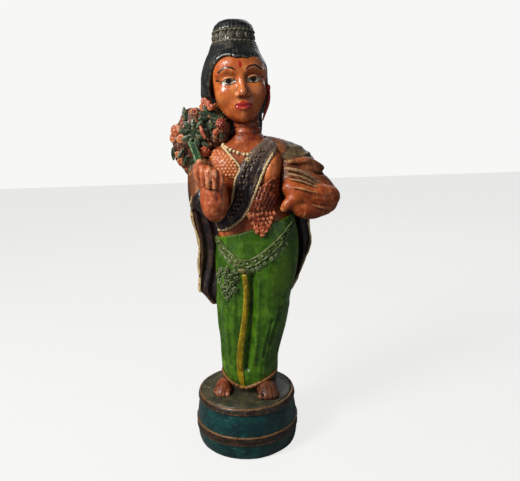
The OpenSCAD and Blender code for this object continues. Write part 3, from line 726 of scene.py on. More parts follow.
# A shaded copy of the foot paint: painted shade for the foot away from the key light.
shaded_foot = enamel("dark_foot_enamel", ((110, 62, 38), (74, 38, 22), (136, 86, 56)),
                   grime_and_shade=(30, 16, 10), dirt_and_shade=1.2, marks=(("toe_lines", (50, 26, 16), 0.2),))
sash_look = enamel("sash_enamel", ((80, 98, 38), (50, 70, 18), (104, 118, 62)),
                   worn=(122, 126, 82), grime_and_shade=(30, 40, 10), dirt_and_shade=1.1, wear=0.6)
tassel_look = enamel("tassel_enamel", ((54, 76, 26), (32, 50, 10), (84, 102, 54)),
                     worn=(112, 124, 80), grime_and_shade=(20, 30, 6), dirt_and_shade=1.2, wear=0.7)
knot_look = enamel("knot_enamel", ((98, 92, 40), (66, 66, 24), (126, 120, 66)),
                   grime_and_shade=(30, 32, 8), dirt_and_shade=1.1)
gold = enamel("gold_enamel", ((142, 106, 62), (92, 62, 30), (186, 150, 100)),
              worn=(214, 188, 140), grime_and_shade=(34, 20, 10), dirt_and_shade=1.2, wear=0.8)
pearl = enamel("pearl_enamel", ((188, 150, 98), (132, 88, 44), (216, 186, 136)),
               worn=(232, 206, 162), grime_and_shade=(50, 24, 12), dirt_and_shade=1.1, wear=0.8)
brocade_look = enamel("brocade_enamel", ((206, 122, 70), (164, 80, 36), (226, 156, 104)),
                      worn=(236, 178, 130), grime_and_shade=(70, 30, 12), dirt_and_shade=1.2, wear=0.8)
garland_look = enamel("garland_enamel", ((140, 60, 24), (88, 28, 8), (168, 88, 44)),
                      worn=(184, 106, 60), grime_and_shade=(34, 8, 2), dirt_and_shade=1.2, wear=0.6)
garland_tip = enamel("garland_tip_enamel", ((186, 78, 42), (132, 44, 16), (214, 118, 74)),
                     worn=(222, 142, 96), grime_and_shade=(50, 14, 6), dirt_and_shade=1.1, wear=0.8)
dark_cloth = enamel("dark_cloth_enamel", ((58, 44, 38), (26, 16, 20), (98, 78, 64)),
                    worn=(126, 104, 84), grime_and_shade=(12, 6, 8), dirt_and_shade=1.0, wear=0.6, dust=0.12,
                    marks=(("dusty", (112, 92, 78), 0.16),))
CLOAK_TONES = ((46, 30, 28), (22, 13, 19), (80, 56, 40))
cloak_look = enamel("cloak_enamel", CLOAK_TONES, worn=(112, 82, 54), grime_and_shade=(10, 5, 8),
                    wear=0.6, streak=(1, 1, 0.3), marks=(("trim", (76, 46, 26), 1.2),))
drape_look = enamel("drape_enamel", ((98, 82, 56), (58, 52, 34), (140, 106, 70)),
                    worn=(168, 144, 108), grime_and_shade=(26, 18, 16), dirt_and_shade=1.1, wear=0.6,
                    marks=(("patch", (132, 74, 40), 0.12),))
raised_sleeve = enamel("raised_sleeve_enamel", ((150, 94, 54), (104, 58, 32), (176, 128, 84)),
                       worn=(190, 150, 108), grime_and_shade=(40, 20, 10), dirt_and_shade=1.1, wear=0.6,
                       marks=(("cloak", (26, 16, 20), 0.5),))
sleeve = enamel("sleeve_enamel", ((150, 78, 38), (106, 52, 24), (170, 116, 74)),
                worn=(184, 138, 94), grime_and_shade=(40, 18, 8), dirt_and_shade=1.0, wear=0.6)
armlet_look = enamel("armlet_enamel", ((126, 80, 48), (88, 50, 28), (146, 104, 70)),
                     worn=(172, 136, 100), grime_and_shade=(40, 22, 12), dirt_and_shade=1.1, wear=0.8)
leaf_look = enamel("leaf_enamel", ((44, 74, 46), (26, 44, 30), (72, 92, 66)),
                   worn=(96, 106, 80), grime_and_shade=(14, 18, 10), dirt_and_shade=1.2, wear=0.7)
spray_look = enamel("spray_enamel", ((134, 72, 50), (66, 38, 30), (160, 104, 70)),
                    worn=(172, 124, 84), grime_and_shade=(24, 12, 10), dirt_and_shade=1.2, wear=0.6,
                    marks=(("olive", (60, 76, 50), 0.9),))
stem_look = enamel("stem_enamel", ((46, 86, 48), (24, 54, 32), (96, 124, 78)),
                   grime_and_shade=(14, 24, 12), dirt_and_shade=1.1)
blossom_look = enamel("blossom_enamel", ((196, 108, 62), (148, 68, 38), (214, 142, 86)),
                      worn=(222, 160, 108), grime_and_shade=(56, 24, 14), dirt_and_shade=1.3, wear=0.6,
                      marks=(("crimson", (126, 26, 40), 0.3),))
bud_look = enamel("bud_enamel", ((178, 70, 34), (126, 40, 20), (206, 110, 66)),
                  worn=(206, 120, 80), grime_and_shade=(50, 14, 8), dirt_and_shade=1.2, wear=0.6,
                  marks=(("crimson", (126, 26, 40), 0.3),))
ribbon_look = enamel("ribbon_enamel", ((168, 36, 30), (116, 18, 18), (190, 66, 50)),
                     grime_and_shade=(50, 8, 8), dirt_and_shade=1.0)
teal = enamel("teal_enamel", ((8, 64, 62), (4, 40, 44), (40, 84, 74)),
              worn=(98, 118, 96), grime_and_shade=(12, 20, 18), dirt_and_shade=0.9, wear=0.6, gloss=0.26,
              coat=0.25, streak=(1, 1, 2.2), dust=0.04)
BAND_TONES = ((52, 35, 25), (32, 21, 15), (74, 55, 40))
band_look = enamel("band_enamel", BAND_TONES, worn=(150, 122, 88), grime_and_shade=(26, 16, 10),
                   wear=0.6, gloss=0.42, coat=0.2, streak=(1, 1, 2.2), dust=0.2,
                   marks=(("line", (120, 84, 48), 0.62),))
ground_look = enamel("ground_enamel", ((78, 72, 50), (48, 50, 38), (104, 94, 66)),
                     worn=(130, 116, 86), grime_and_shade=(24, 22, 14), dirt_and_shade=1.0, gloss=0.42, dust=0.2)
clay_look = enamel("bare_clay", ((170, 120, 86), (136, 92, 62), (194, 150, 114)),
                   dirt_and_shade=0.5, wear=0.2, gloss=0.7, coat=0.0)
rod_look = enamel("rod_wood", ((158, 120, 76), (120, 86, 50), (184, 148, 102)),
                  dirt_and_shade=0.4, wear=0.2, gloss=0.7, coat=0.0, streak=(1, 1, 0.08))

# ---------------------------------------------------------------- the drum
WALL_H, RIM_R = 38, 33.9
PROFILE = [(29, 0), (34.0, 0), (35.9, 1.6), (36.9, 5.4), (37.3, 10), (37.3, 16), (36.8, 22),
           (36.0, 28), (34.9, 34), (RIM_R, WALL_H), (12, WALL_H), (12, 32), (29, 28)]
turned("base_drum", PROFILE, teal, ((16, 0.30), (3.2, 0.10)))


def mound(x, y, z):
    """The ground that the figure stands on: higher behind it than before it."""
    r = np.hypot(x, y)
    top = 40 + 3.4 * ramp(-14, 4, y) * ramp(34, 18, r) + 0.25 * np.sin(x * 0.31) * np.sin(y * 0.27)
    shoulder = z - (WALL_H + (top - WALL_H) * np.sqrt(np.clip(1 - (r / 34.2) ** 6, 0, 1)))
    return soft_max(shoulder, r - RIM_R + 0.10 * (z - WALL_H), 1.6)


clay = Clay((-36, -36, 35), (36, 36, 45), 0.62)
clay.d = mound(clay.x, clay.y, clay.z)
clay.keep(36 - clay.z)
points, faces = net(clay)
place_piece(points, faces, ground_look, "base_top", None, ((8, 0.35), (2, 0.16)))


def rims(low, high):
    """Two thin painted lines round a band, at its lower and upper edges."""
    return lambda x, y, z: np.minimum(np.abs(z - low) - 0.34, np.abs(z - high) - 0.5)


BANDS = {"base_band_lower": ([(36.7, 11.7), (37.9, 12.1), (38.05, 12.8), (37.75, 13.6), (37.8, 16.8),
                              (38.05, 17.6), (37.9, 18.4), (36.7, 18.7)], rims(12.2, 18.2)),
         "base_band_upper": ([(34.5, 33.8), (36.0, 33.9), (36.2, 34.5), (36.0, 35.6), (35.6, 37),
                              (35.0, 38.1), (34.2, 38.5), (33.6, 37.8)], rims(34.2, 38.2))}
for node, (profile, line) in BANDS.items():
    turned(node, profile, band_look, ((12, 0.16), (2.2, 0.10)), 0.45, 260, {"line": line})
for node, look in (("base_plug", clay_look), ("core_rod", rod_look)):
    solid = bpy.data.objects[node]
    solid.data.materials.clear()
    solid.data.materials.append(look)

# ---------------------------------------------------------------- the skirt and what lies on it
clay = form_clay(skirt_form, (-26, -26, -1), (46, 26, 134), 0.62, floor=-0.4)
clay.keep(clay.z - 121.5 - 0.28 * (clay.x - 10), 1.0)


def below_hem(x, y, z):
    return z - np.interp(x, *np.array(HEM).T[:2]) + 0.6 + 6 * (y > 2)


def lit_hip(x, y, z):
    return 0.4 * (np.hypot((x - 27 - 0.10 * (z - 90)) / 8, (z - 90) / 22) - 0.75) + 3 * (y > 0)


sculpt("skirt", clay, green, {"under": below_hem, "lit": lit_hip})

sculpt("skirt_pleat", laid(skirt_form, PLEAT, 0.4, lambda a, s, w: 1.3 - 0.9 * (a / w) ** 2
       + 0.25 * hill(a - 0.75 * w, 0.3)), ochre, uneven=((5, 0.15), (1.4, 0.08)))
sculpt("skirt_hem", laid(skirt_form, HEM, 0.4, lambda a, s, w: 1.5 - 0.6 * (a / w) ** 2
       + 0.16 * np.sin(s * 1.7)), hem_look)


def sash_height(a, s, w):
    rails = hill(a - 0.82 * w, 0.42)
    dashes = hill(a - 0.1, 0.9) * ramp(-0.2, 0.6, np.sin(s * 2.2))
    return 1.3 + 0.45 * rails + 0.45 * dashes + 0.2 * np.cos(a * 2.1 + s)


sculpt("hip_sash", laid(skirt_form, SASH, 0.38, sash_height, soft=0.7), sash_look,
       uneven=((4, 0.3), (1.4, 0.14)))


def flower(clay, at, normal, radius, petals=5, roll=0.0, plump=0.42):
    """A small modelled flower with round petals, lying on a surface."""
    m = axes_from(normal, roll)
    at = np.array(at, float)
    for k in range(petals):
        t = 2 * math.pi * k / petals
        out = m[:, 0] * math.cos(t) + m[:, 1] * math.sin(t)
        turn = np.column_stack([out, np.cross(m[:, 2], out), m[:, 2]])
        clay.add(egg(at + out * radius * 0.62, (radius * 0.42, radius * plump * 0.85, radius * 0.34),
                     turn), 0.12)
    clay.add(egg(at + m[:, 2] * radius * 0.18, radius * 0.34), 0.1)
    return clay


def bead(clay, at, normal, radius):
    """A bead with a ring pressed round it."""
    m = axes_from(normal)
    clay.add(egg(at, radius), 0.15)
    ring = [np.array(at) + m[:, 2] * radius * 0.55 + 0.72 * radius * (
        m[:, 0] * math.cos(t) + m[:, 1] * math.sin(t)) for t in np.linspace(0, 2 * math.pi, 13)]
    clay.rope(ring, radius * 0.13, 0.15, 1, cut=True)
    return clay


def around(points, pad):
    p = np.array(points, float)
    return p.min(0) - pad, p.max(0) + pad


run = refine([p[:2] for p in SASH], 6)
run = run[2:-8]
spots = run[np.linspace(0, len(run) - 1, 17).round().astype(int)] + np.array([1.2, -5.0])
beads = on_front(skirt_form, spots, 0.4)
clay = Clay(*around(beads, 4), 0.32)
for i, p in enumerate(beads):
    clay.add(egg(p + [0, 0.5, 0], (1.7, 1.1, 1.7)), 0.6)
    flower(clay, p, (0.2 * math.sin(i * 2.3), -1, 0.1), 1.75 + 0.35 * math.sin(i * 2.1), 5, i * 31, 0.5)
sculpt("sash_fringe", clay, tassel_look, uneven=((1.6, 0.16),))

tassel = [(-14.6, 92), (-10, 93.6), (-5.4, 91.4), (-16, 88), (-12, 89.2), (-8, 88.4), (-4, 87),
          (-15.4, 83.8), (-11.2, 84.8), (-7, 83.4), (-13.6, 80), (-9.4, 80.6), (-5.6, 79.6),
          (-12, 76.2), (-8.2, 76.4), (-10.4, 73.2)]
at = on_front(skirt_form, tassel, 0.7)
clay = Clay(*around(at, 4.5), 0.32)
for i, p in enumerate(at):
    clay.add(egg(p + [0, 0.8, 0], (2.3, 1.2, 2.3)), 0.8)
for i, p in enumerate(at):
    flower(clay, p, (0.3 * math.sin(i * 2.3), -1, 0.3 * math.cos(i * 1.7)), 2.5 + 0.3 * math.sin(i * 3.1),
           5 + i % 2, i * 37, 0.5)
sculpt("sash_tassel", clay, tassel_look, uneven=((1.8, 0.2),))

p = on_front(skirt_form, [(0.6, 92.6)], 0.4)[0]
clay = Clay(p - 4.5, p + 4.5, 0.26)
clay.add(egg(p, (2.6, 1.9, 2.1)), 0.4)
for side in (-1, 1):
    clay.add(egg(p + [side * 2.2, 0.2, 0.3], (1.5, 1.2, 1.7)), 0.4)
clay.rope([p + [-0.6, -1.9, 1.6], p + [-0.2, -2.1, 0], p + [-0.6, -1.8, -1.6]], 0.28, 0.3, 3, cut=True)
clay.rope([p + [0.9, -1.8, 1.5], p + [0.6, -2.0, 0], p + [0.9, -1.7, -1.5]], 0.24, 0.3, 3, cut=True)
sculpt("sash_knot", clay, knot_look, uneven=((1.6, 0.08),))


def foot(node, x, y, turn, wide, look):
    """The rounded front of a foot, with toes, that comes out from under the hem."""
    t = math.radians(turn)
    m = np.array([[math.cos(t), -math.sin(t), 0], [math.sin(t), math.cos(t), 0], [0, 0, 1]])

    def at(px, py, pz):
        return np.array([x, y, 0]) + m @ np.array([px, py, pz])

    clay = Clay((x - 12, y - 14, -1), (x + 12, y + 11, 11), 0.34)
    clay.add(egg(at(0, 1.5, 2.6), (wide, 9, 6.4), m), 1)
    clay.add(egg(at(0, -4.5, 1.6), (wide * 0.98, 5.4, 3.6), m), 2.5)
    reach = (6.6, 8.4, 9.2, 9.4, 9.0) if x < 0 else (8.6, 9.4, 9.4, 8.6, 7.0)
    big = 4 if x < 0 else 0
    for k in range(5):
        across = (k - 2) * wide * 0.40
        r = wide * (0.30 if k == big else 0.235)
        clay.rope([at(across * 0.9, -5, 2.6), at(across, -reach[k] + r, 1.4)], [r, r * 1.08], 0.7, 2)
    for k in range(4):
        across = (k - 1.5) * wide * 0.40
        clay.rope([at(across * 0.92, -5.6, 4.0), at(across, -7.6, 3.0), at(across, -9.6, 1.0)],
                  [0.18, 0.30, 0.30], 0.5, 3, cut=True)
    clay.keep(-0.4 - clay.z, 0.4)

    def lines(px, py, pz):
        across = (px - x) * math.cos(t) + (py - y) * math.sin(t)
        ahead = -(px - x) * math.sin(t) + (py - y) * math.cos(t)
        return np.abs((across / (wide * 0.40)) % 1 - 0.5) * wide * 0.40 - 0.35 + ramp(-4.5, -3, ahead) * 3

    sculpt(node, clay, look, {"toe_lines": lines}, ((4, 0.2), (1.3, 0.08)))


foot("right_foot", -16.5, -9.5, -16, 6.0, foot_look)
foot("left_foot", 15.2, -15.5, 8, 7.6, shaded_foot)

# ---------------------------------------------------------------- torso, neck and head
clay = form_clay(torso_form, (-28, -25, 112), (40, 23, 186), 0.62, floor=113, top=183.5)


# Painted highlight: a brighter orange over the breast's bulge.
def swell(x, y, z):
    return (np.hypot((x - 22.6 - 0.16 * (z - 161)) / 6.0, (z - 162) / 10.5) - 1) * 0.5 + 3 * (y > 0)


def shadow(x, y, z):
    under = np.hypot((x - 25 - 0.1 * (z - 146)) / 9, (z - 146) / 10) - 1
    side = np.hypot((x - 30.5) / 3, (z - 160) / 13) - 1
    return np.minimum(under, side) * 0.4 + 3 * (y > 0)


sculpt("torso", clay, body_paint, {"shadow": shadow, "swell": swell})
clay = form_clay(neck_form, (-6, -13, 178), (19, 13, 206), 0.4, floor=179.5, top=204.5)
sculpt("neck", clay, throat, uneven=((4, 0.12), (1.3, 0.05)))

HEAD_AT = np.array([1.4, -0.6, 217.6])
HEAD_SIZE = np.array([1.12, 1.04, 1.035])
HEAD_TURN = np.array(Matrix.Rotation(math.radians(-4), 3, "Y") @ Matrix.Rotation(math.radians(6), 3, "Z"))


def on_head(px, py, pz):
    """A place from the head's own axes: to the viewer's right, towards the face, and up."""
    return HEAD_AT + HEAD_TURN @ (HEAD_SIZE * np.array([px, -py, pz]))


def head_line(*points):
    return [on_head(*p) for p in points]


def lip_line(corner, bow, middle):
    """A line across the mouth, the same on both sides."""
    flip = np.array([-1, 1, 1])
    return head_line(corner * flip, bow * flip, middle, bow, corner)


def head_axes(x, y, z):
    p = np.stack([x - HEAD_AT[0], y - HEAD_AT[1], z - HEAD_AT[2]], -1) @ HEAD_TURN
    p = p / HEAD_SIZE
    return p[..., 0], -p[..., 1], p[..., 2]


def skull(px, py, pz, rx, ry, rz):
    return egg(on_head(px, py, pz), HEAD_SIZE * np.array([rx, ry, rz]), HEAD_TURN)


clay = Clay((-20, -30, 189.5), (26, 23, 245), 0.42)
clay.add(skull(0, -1, 6, 18.2, 20.4, 17.8), 1)
clay.add(skull(0, 5, -5, 15.2, 15, 18.2), 3)
clay.add(skull(0, 9, -16.6, 9.6, 8.6, 7.4), 4)
clay.add(skull(0, 8.5, 9, 14, 11.2, 11), 3)
clay.add(skull(0, 14.0, -20.6, 4.0, 3.9, 3.8), 3.5)
for side in (-1, 1):
    clay.add(skull(side * 8.4, 11.9, -6.8, 6.0, 5.6, 6.2), 4)
    clay.rope(head_line((side * 3.2, 18.4, 5.6), (side * 7.6, 17.5, 7.6), (side * 12.4, 13.6, 5.4)), 1.2, 3)
for side in (-1, 1):
    clay.cut(skull(side * 7.0, 20.0, 1.2, 4.9, 3.4, 3.4), 2.6)
clay.rope(head_line((0, 17.8, 5), (0, 19.0, 0), (0, 21.4, -6)), [1.5, 1.6, 2.2], 2.4)
clay.add(skull(0, 21.6, -7.6, 2.5, 2.5, 2.2), 1.4)
for side in (-1, 1):
    clay.add(skull(side * 2.7, 19.6, -8.5, 1.8, 2.2, 1.6), 0.9)
clay.add(skull(0, 16.6, -14.2, 6.0, 3.2, 4.6), 3)
clay.rope(head_line((0, 20.9, -12.4), (0, 21.2, -10.8)), 0.7, 1.0, 2, cut=True)
for side in (-1, 1):
    clay.cut(skull(side * 1.35, 21.2, -9.9, 0.75, 1.0, 0.7), 0.5)
    clay.add(skull(side * 6.9, 13.5, 0.8, 4.4, 4.0, 3.2), 0.5)
    upper = [(2.9, 17.0, 0.0), (4.6, 17.9, 1.6), (7.1, 17.9, 2.3), (9.6, 16.7, 1.6), (11.6, 14.6, 0.1)]
    lower = [(2.9, 17.0, 0.0), (5.0, 17.3, -1.3), (7.2, 17.3, -1.7), (9.6, 16.2, -1.2), (11.6, 14.6, 0.1)]
    clay.rope([on_head(side * a, b, c) for a, b, c in upper], [0.4, 0.8, 0.95, 0.8, 0.4], 0.7)
    clay.rope([on_head(side * a, b, c) for a, b, c in lower], [0.35, 0.5, 0.55, 0.5, 0.35], 0.7)
clay.rope(lip_line((5.0, 17.2, -14.7), (2.3, 19.2, -13.5), (0, 19.7, -14.0)),
          [0.5, 0.95, 0.85, 0.95, 0.5], 0.7)
clay.rope(lip_line((4.4, 17.3, -15.6), (2, 18.9, -16.5), (0, 19.4, -16.8)),
          [0.5, 1.05, 1.2, 1.05, 0.5], 0.7)
clay.rope(lip_line((5.2, 18.0, -14.9), (2.4, 20.3, -15.1), (0, 20.9, -15.2)), 0.3, 0.4, 3, cut=True)


EYE_X, EYE_HALF = 7.2, 4.2


def almond(px, pz, grow=0.0):
    """Below zero within the opening of an eye."""
    u = (np.abs(px) - EYE_X) / (EYE_HALF + grow)
    room = np.clip(1 - u * u, 0, None)
    return np.maximum(np.maximum(pz - 0.1 - (1.75 + grow) * room, -0.1 - (1.35 + grow) * room - pz),
                      (np.abs(u) - 1) * (EYE_HALF + grow))


def iris(px, pz):
    return np.maximum(np.hypot(np.abs(px) - EYE_X, pz - 0.4) - 1.75, almond(px, pz))


def lid_line(px, pz):
    """The line painted round an eye, and its tail."""
    tail = arc([(10.8, 1.0), (12.4, 1.3), (13.8, 2.2)], 0.45)
    return np.minimum(np.abs(almond(px, pz, 0.2)) - 0.33, tail(px, pz))


def on_face(mark):
    """A painted mark whose distance is given in the face's own axes."""
    def values(x, y, z):
        px, py, pz = head_axes(x, y, z)
        return np.where(py > 8, mark(px, pz), 5.0)
    return values


def arc(points, half):
    """A painted stroke that starts thin, on both sides of the face."""
    run = refine([(*p, half) for p in points], 4)

    def distance(px, pz):
        d, w, s = lane(run, np.abs(px), pz, 1)
        return d - w * (0.35 + 0.65 * ramp(0, 2.5, s))
    return distance


face_marks = {
    "white": on_face(almond),
    "iris": on_face(iris),
    "line": on_face(lid_line),
    "brow": on_face(arc([(2.8, 6.0), (5.4, 8.0), (8.8, 8.4), (12.4, 6.4)], 0.6)),
    "lips": on_face(lambda px, pz: (np.hypot(px / 5.2, (pz + 15.2) / 2.5) - 1) * 2.4),
    "spot": on_face(lambda px, pz: np.hypot(px / 1.0, (pz - 9.6) / 1.9) - 1.0)}
sculpt("head", clay, face, face_marks, ((8, 0.10), (1.8, 0.03)))

# ---------------------------------------------------------------- hair
def strands(x, y, z, count):
    """Combed grooves that run up towards the topknot."""
    turn = np.arctan2(y - KNOT[1], x - KNOT[0])
    wave = 0.35 * np.sin(5 * turn + z * 0.06) + 0.2 * np.sin(11 * turn - z * 0.11)
    lines = np.sin(count * turn + wave * 3 + z * 0.02)
    return 0.09 * lines + 0.05 * np.sin(count * 2.3 * turn - wave * 4)


def hair_form(x, y, z):
    forelock = 2.4 * hill(np.hypot((x - 1.4) / 14, (z - 233) / 7), 1) * facing_front(y, 2, 10)
    return loft(HAIR, x, y, z) - strands(x, y, z, 46) - 0.35 - forelock


OPENING = (egg((-5.2, -19, 209.8), (13.8, 17.0, 23.2)), egg((11.6, -19, 209.8), (12.0, 17.2, 22.4)),
           egg((3.2, -19, 209.8), (9.0, 17.0, 22.2)),
           egg((3.2, -19, 203.5), (20.0, 16.8, 19.5)))


def hairline(x, y, z):
    """The dark painted rim round the face, widest over its middle."""
    wide = 2.6 + 4.2 * hill((x - 3) / 11, 1) * ramp(216, 228, z)
    return np.minimum.reduce([o.distance(x, y, z) for o in OPENING]) - wide


clay = form_clay(hair_form, (-25.5, -23, 198), (24, 27.5, 244.5), 0.42, floor=199, top=243)
for shape in OPENING:
    clay.cut(shape, 2.2)
clay.keep(-(clay.d * 0 + egg((1.5, 1, 219), (16, 17, 20)).distance(clay.x, clay.y, clay.z)), 1)
clay.keep(202.5 - 0.35 * (clay.x + 0 * clay.y) - clay.z - ramp(0, 14, clay.y) * 9, 1.5)
sculpt("hair_cap", clay, hair, {"rim": hairline}, ((6, 0.22), (1.6, 0.07)))

NAPE = refine([[181, 6, 9.5, 9, 5, 0], [186, 5.5, 11, 11.5, 8, 0], [192, 4, 11.5, 13.5, 9.6, 0],
               [198, 1, 10, 16.5, 12, 0], [202, -.5, 9, 19, 13, 0]], 4)
clay = form_clay(lambda x, y, z: loft(NAPE, x, y, z) - 1.2 * strands(x, y - 8, z, 34), (-21, -4, 180),
                 (20, 24, 203), 0.42, floor=181.6, top=201)
sculpt("hair_back", clay, hair, {"rim": unmarked}, ((6, 0.2), (1.4, 0.06)))

knot_profile = np.array([(-1, 16.6), (0, 15.8), (2.5, 14.2), (6, 13.4), (10.5, 13.8), (13.4, 12.6),
                         (15.8, 10), (17.2, 6), (17.9, 0.5)])
clay = Clay((-18, -17, 240.5), (16.5, 18.5, 260.2), 0.42)
px, py, pz = clay.x - KNOT[0], clay.y - KNOT[1], clay.z - KNOT[2]
radius = np.hypot(px, py)
turn = np.arctan2(py, px)
edge = np.interp(pz, knot_profile[:, 0], knot_profile[:, 1])
slope = np.interp(pz, [0, 10, 14, 16.6, 17.9], [1, 0.9, 0.7, 0.4, 0.2])
ribs = 0.22 * np.abs(np.sin(17 * turn + 0.35 * np.sin(3 * turn))) * ramp(3.5, 8, radius) - 0.2
clay.d = (radius - edge) * slope - ribs
clay.keep(clay.z - KNOT[2] - 17.7, 1.5)
clay.keep(KNOT[2] - 0.8 - clay.z, 0.4)
clay.rope([(KNOT[0] + (6.2 - 0.15 * k) * math.cos(0.5 * k), KNOT[1] + (6.2 - 0.15 * k) * math.sin(0.5 * k),
            KNOT[2] + 17.3) for k in range(36)], 0.25, 0.5, 1, cut=True)
sculpt("topknot", clay, hair, {"rim": lambda x, y, z: 253 - z}, ((5, 0.25), (1.4, 0.06)))


def round_knot(radius, t, height):
    """A place about the topknot's upright axis."""
    return KNOT[0] + radius * math.cos(t), KNOT[1] + radius * math.sin(t), KNOT[2] + height


clay = Clay((-19, -17.5, 241.5), (17.5, 19.5, 252.5), 0.36)
for radius, height in ((14.4, 2.0), (13.7, 8.9)):
    for k in (-1, 1):
        clay.rope([round_knot(radius + 0.25 * math.cos(30 * t * k), t,
                              height + 0.25 * math.sin(30 * t * k) * k)
                   for t in np.linspace(0, 2 * math.pi, 181)], 0.55, 0.5, 1)
sculpt("topknot_bands", clay, coil_paint, uneven=((3, 0.06),))

clay = Clay((-20, -18.5, 242.5), (18.5, 20.5, 251.5), 0.36)
for k in range(14):
    t = 2 * math.pi * k / 14 + 0.1
    m = axes_from((math.cos(t), math.sin(t), 0.05), 11 * k)
    c = np.array(round_knot(13.2, t, 5.5))
    clay.add(egg(c, (2.7, 2.7, 1.2), m), 0.5)
    spiral = [c + m[:, 2] * (0.75 + 0.30 * j / 9) + (2.35 - 0.205 * j) * (
        m[:, 0] * math.cos(0.75 * j) + m[:, 1] * math.sin(0.75 * j)) for j in range(11)]
    clay.rope(spiral, [0.46] * 9 + [0.55, 0.7], 0.3, 1)
sculpt("topknot_coils", clay, coil_paint, uneven=((2, 0.06),))

flowers = [(-21.8, -7.4, 206.8), (-19.6, -10.6, 205.0), (-22.4, -8.0, 202.6), (-17.6, -11.6, 202.4)]
clay = Clay(*around(flowers, 4.6), 0.3)
for i, p in enumerate(flowers):
    clay.add(egg(np.array(p) + [1, 1, 0], (2.2, 2.2, 2.2)), 0.5)
    flower(clay, p, (-0.5, -1, 0.1), 2.4 - 0.2 * (i % 2), 5, 25 * i, 0.8)
sculpt("right_hair_flowers", clay, bud_look, {"crimson": unmarked},
       ((2.0, 0.3), (0.9, 0.1)))

clay = Clay((14, -14, 191), (26, 0, 220), 0.32)
for k, (shift, r) in enumerate(((0, 1.0), (0.9, 0.75), (-0.8, 0.7))):
    clay.rope([(20.4 + shift * 0.4, -6 - shift, 217), (21.4 + shift * 0.3, -6.8 - shift, 212),
               (21.0, -7.6 - shift, 205), (18.8, -7.8 - shift, 198.6), (17.2, -6.6 - shift, 193.4)],
              [r * 0.6, r * 1.1, r * 1.25, r * 1.0, r * 0.5], 0.35)
clay.add(egg((21.2, -7.4, 214.5), (1.6, 1.7, 2.0)), 0.5)
sculpt("left_hair_ribbon", clay, ribbon_look, uneven=((2, 0.10),))

# ---------------------------------------------------------------- necklace and chest
run = refine(NECKLACE, 8)
spots = run[np.linspace(0, len(run) - 1, 15).round().astype(int)]
beads = on_front(torso_form, spots, 0.7)
clay = Clay(*around(beads, 3), 0.28)
clay.rope([p + [0, 0.6, 0] for p in beads], 0.7, 0.3, 2)
for i, p in enumerate(beads):
    bead(clay, p, (0.2 * math.sin(i * 1.9), -1, 0.25), 1.25 + 0.12 * math.sin(i * 2.7))
sculpt("necklace", clay, pearl, uneven=((1.5, 0.08),))

p = on_front(torso_form, [(6.2, 166.8)], 0.6)[0]
clay = Clay(p - 5, p + 5, 0.26)
clay.add(egg(p, (2.5, 1.6, 2.5)), 0.3)
flower(clay, p + [0, -1.2, 0], (0, -1, 0.1), 2.3, 7)
clay.add(egg(p + [0, 0, -2.6], (0.9, 0.9, 1.3)), 0.4)
sculpt("pendant", clay, gold, uneven=((1.5, 0.08),))

BROCADE = [[-17, 171, 4], [-13.5, 168.5, 6], [-9, 164.5, 6.4], [-4.5, 160, 4.6]]


def brocade_height(a, s, w):
    return 1.9 - 0.8 * (a / w) ** 2


clay = laid(torso_form, BROCADE, 0.36, brocade_height)
grid = [(x + (row % 2) * 1.25, 154 + row * 2.0) for row in range(12) for x in np.arange(-21, 1, 2.5)]
across, half, _ = lane(BROCADE, np.array([g[0] for g in grid]), np.array([g[1] for g in grid]))
grid = [g for g, a, w in zip(grid, across, half) if a < w - 0.7]
for i, p in enumerate(on_front(torso_form, grid, 1.5)):
    clay.add(egg(p, (0.85, 0.8, 0.8)), 0.25)
sculpt("chest_brocade", clay, brocade_look, uneven=((2, 0.10),))


def scarf_height(a, s, w):
    gathers = 0.28 * np.cos(a * 1.25 + 0.5 * np.sin(s * 0.16)) + 0.12 * np.cos(a * 3.4 + s * 0.21)
    return 2.5 + gathers - 0.5 * (a / w) ** 2


clay = laid(torso_form, SCARF, 0.42, scarf_height, soft=1.6)
clay.rope(on_front(torso_form, [(7.5, 158), (6, 149), (4.6, 140), (1, 132)], 2.8), [0.5, 1.1, 1.1, 0.6], 1.2,
          4, cut=True)
clay.rope(on_front(torso_form, [(15, 170), (12, 162), (9, 152)], 3.0), 0.5, 1.2, 4, cut=True)
sculpt("scarf", clay, dark_cloth, {"dusty": lambda x, y, z: (166 - z) * 0.022},
       ((6, 0.35), (1.8, 0.16)))


def border(node, form, path, lift, material, pitch=1.9):
    """A gold edge of two twisted cords with a flat strip behind them."""
    run = refine(path, 6)
    gone = np.concatenate([[0], np.cumsum(np.hypot(*np.diff(run[:, :2], axis=0).T))])
    at = np.arange(0, gone[-1], 0.5)
    x, z, w = (np.interp(at, gone, run[:, k]) for k in range(3))
    base = on_front(form, np.column_stack([x, z]), lift)
    along = np.gradient(base, axis=0)
    along /= np.linalg.norm(along, axis=1, keepdims=True)
    side = np.cross(along, [0, -1, 0])
    side /= np.linalg.norm(side, axis=1, keepdims=True)
    clay = Clay(base.min(0) - 3.2, base.max(0) + 3.2, 0.32)
    clay.rope(base + [0, 0.5, 0], w * 0.62, 0.3, 1)
    for k in (0, math.pi):
        angle = (at * 2 * math.pi / (2 * pitch) + k)[:, None]
        r = (w * 0.34)[:, None]
        clay.rope(base + side * r * np.cos(angle) + np.array([0, -1, 0]) * r * np.sin(angle) * 0.8,
                  w * 0.42, 0.4, 1)
    sculpt(node, clay, material, uneven=((2, 0.10),))


border("scarf_edge_right", torso_form, SCARF_RIGHT, 1.2, gold)
border("scarf_edge_left", torso_form, SCARF_LEFT, 1.6, gold, 2.3)

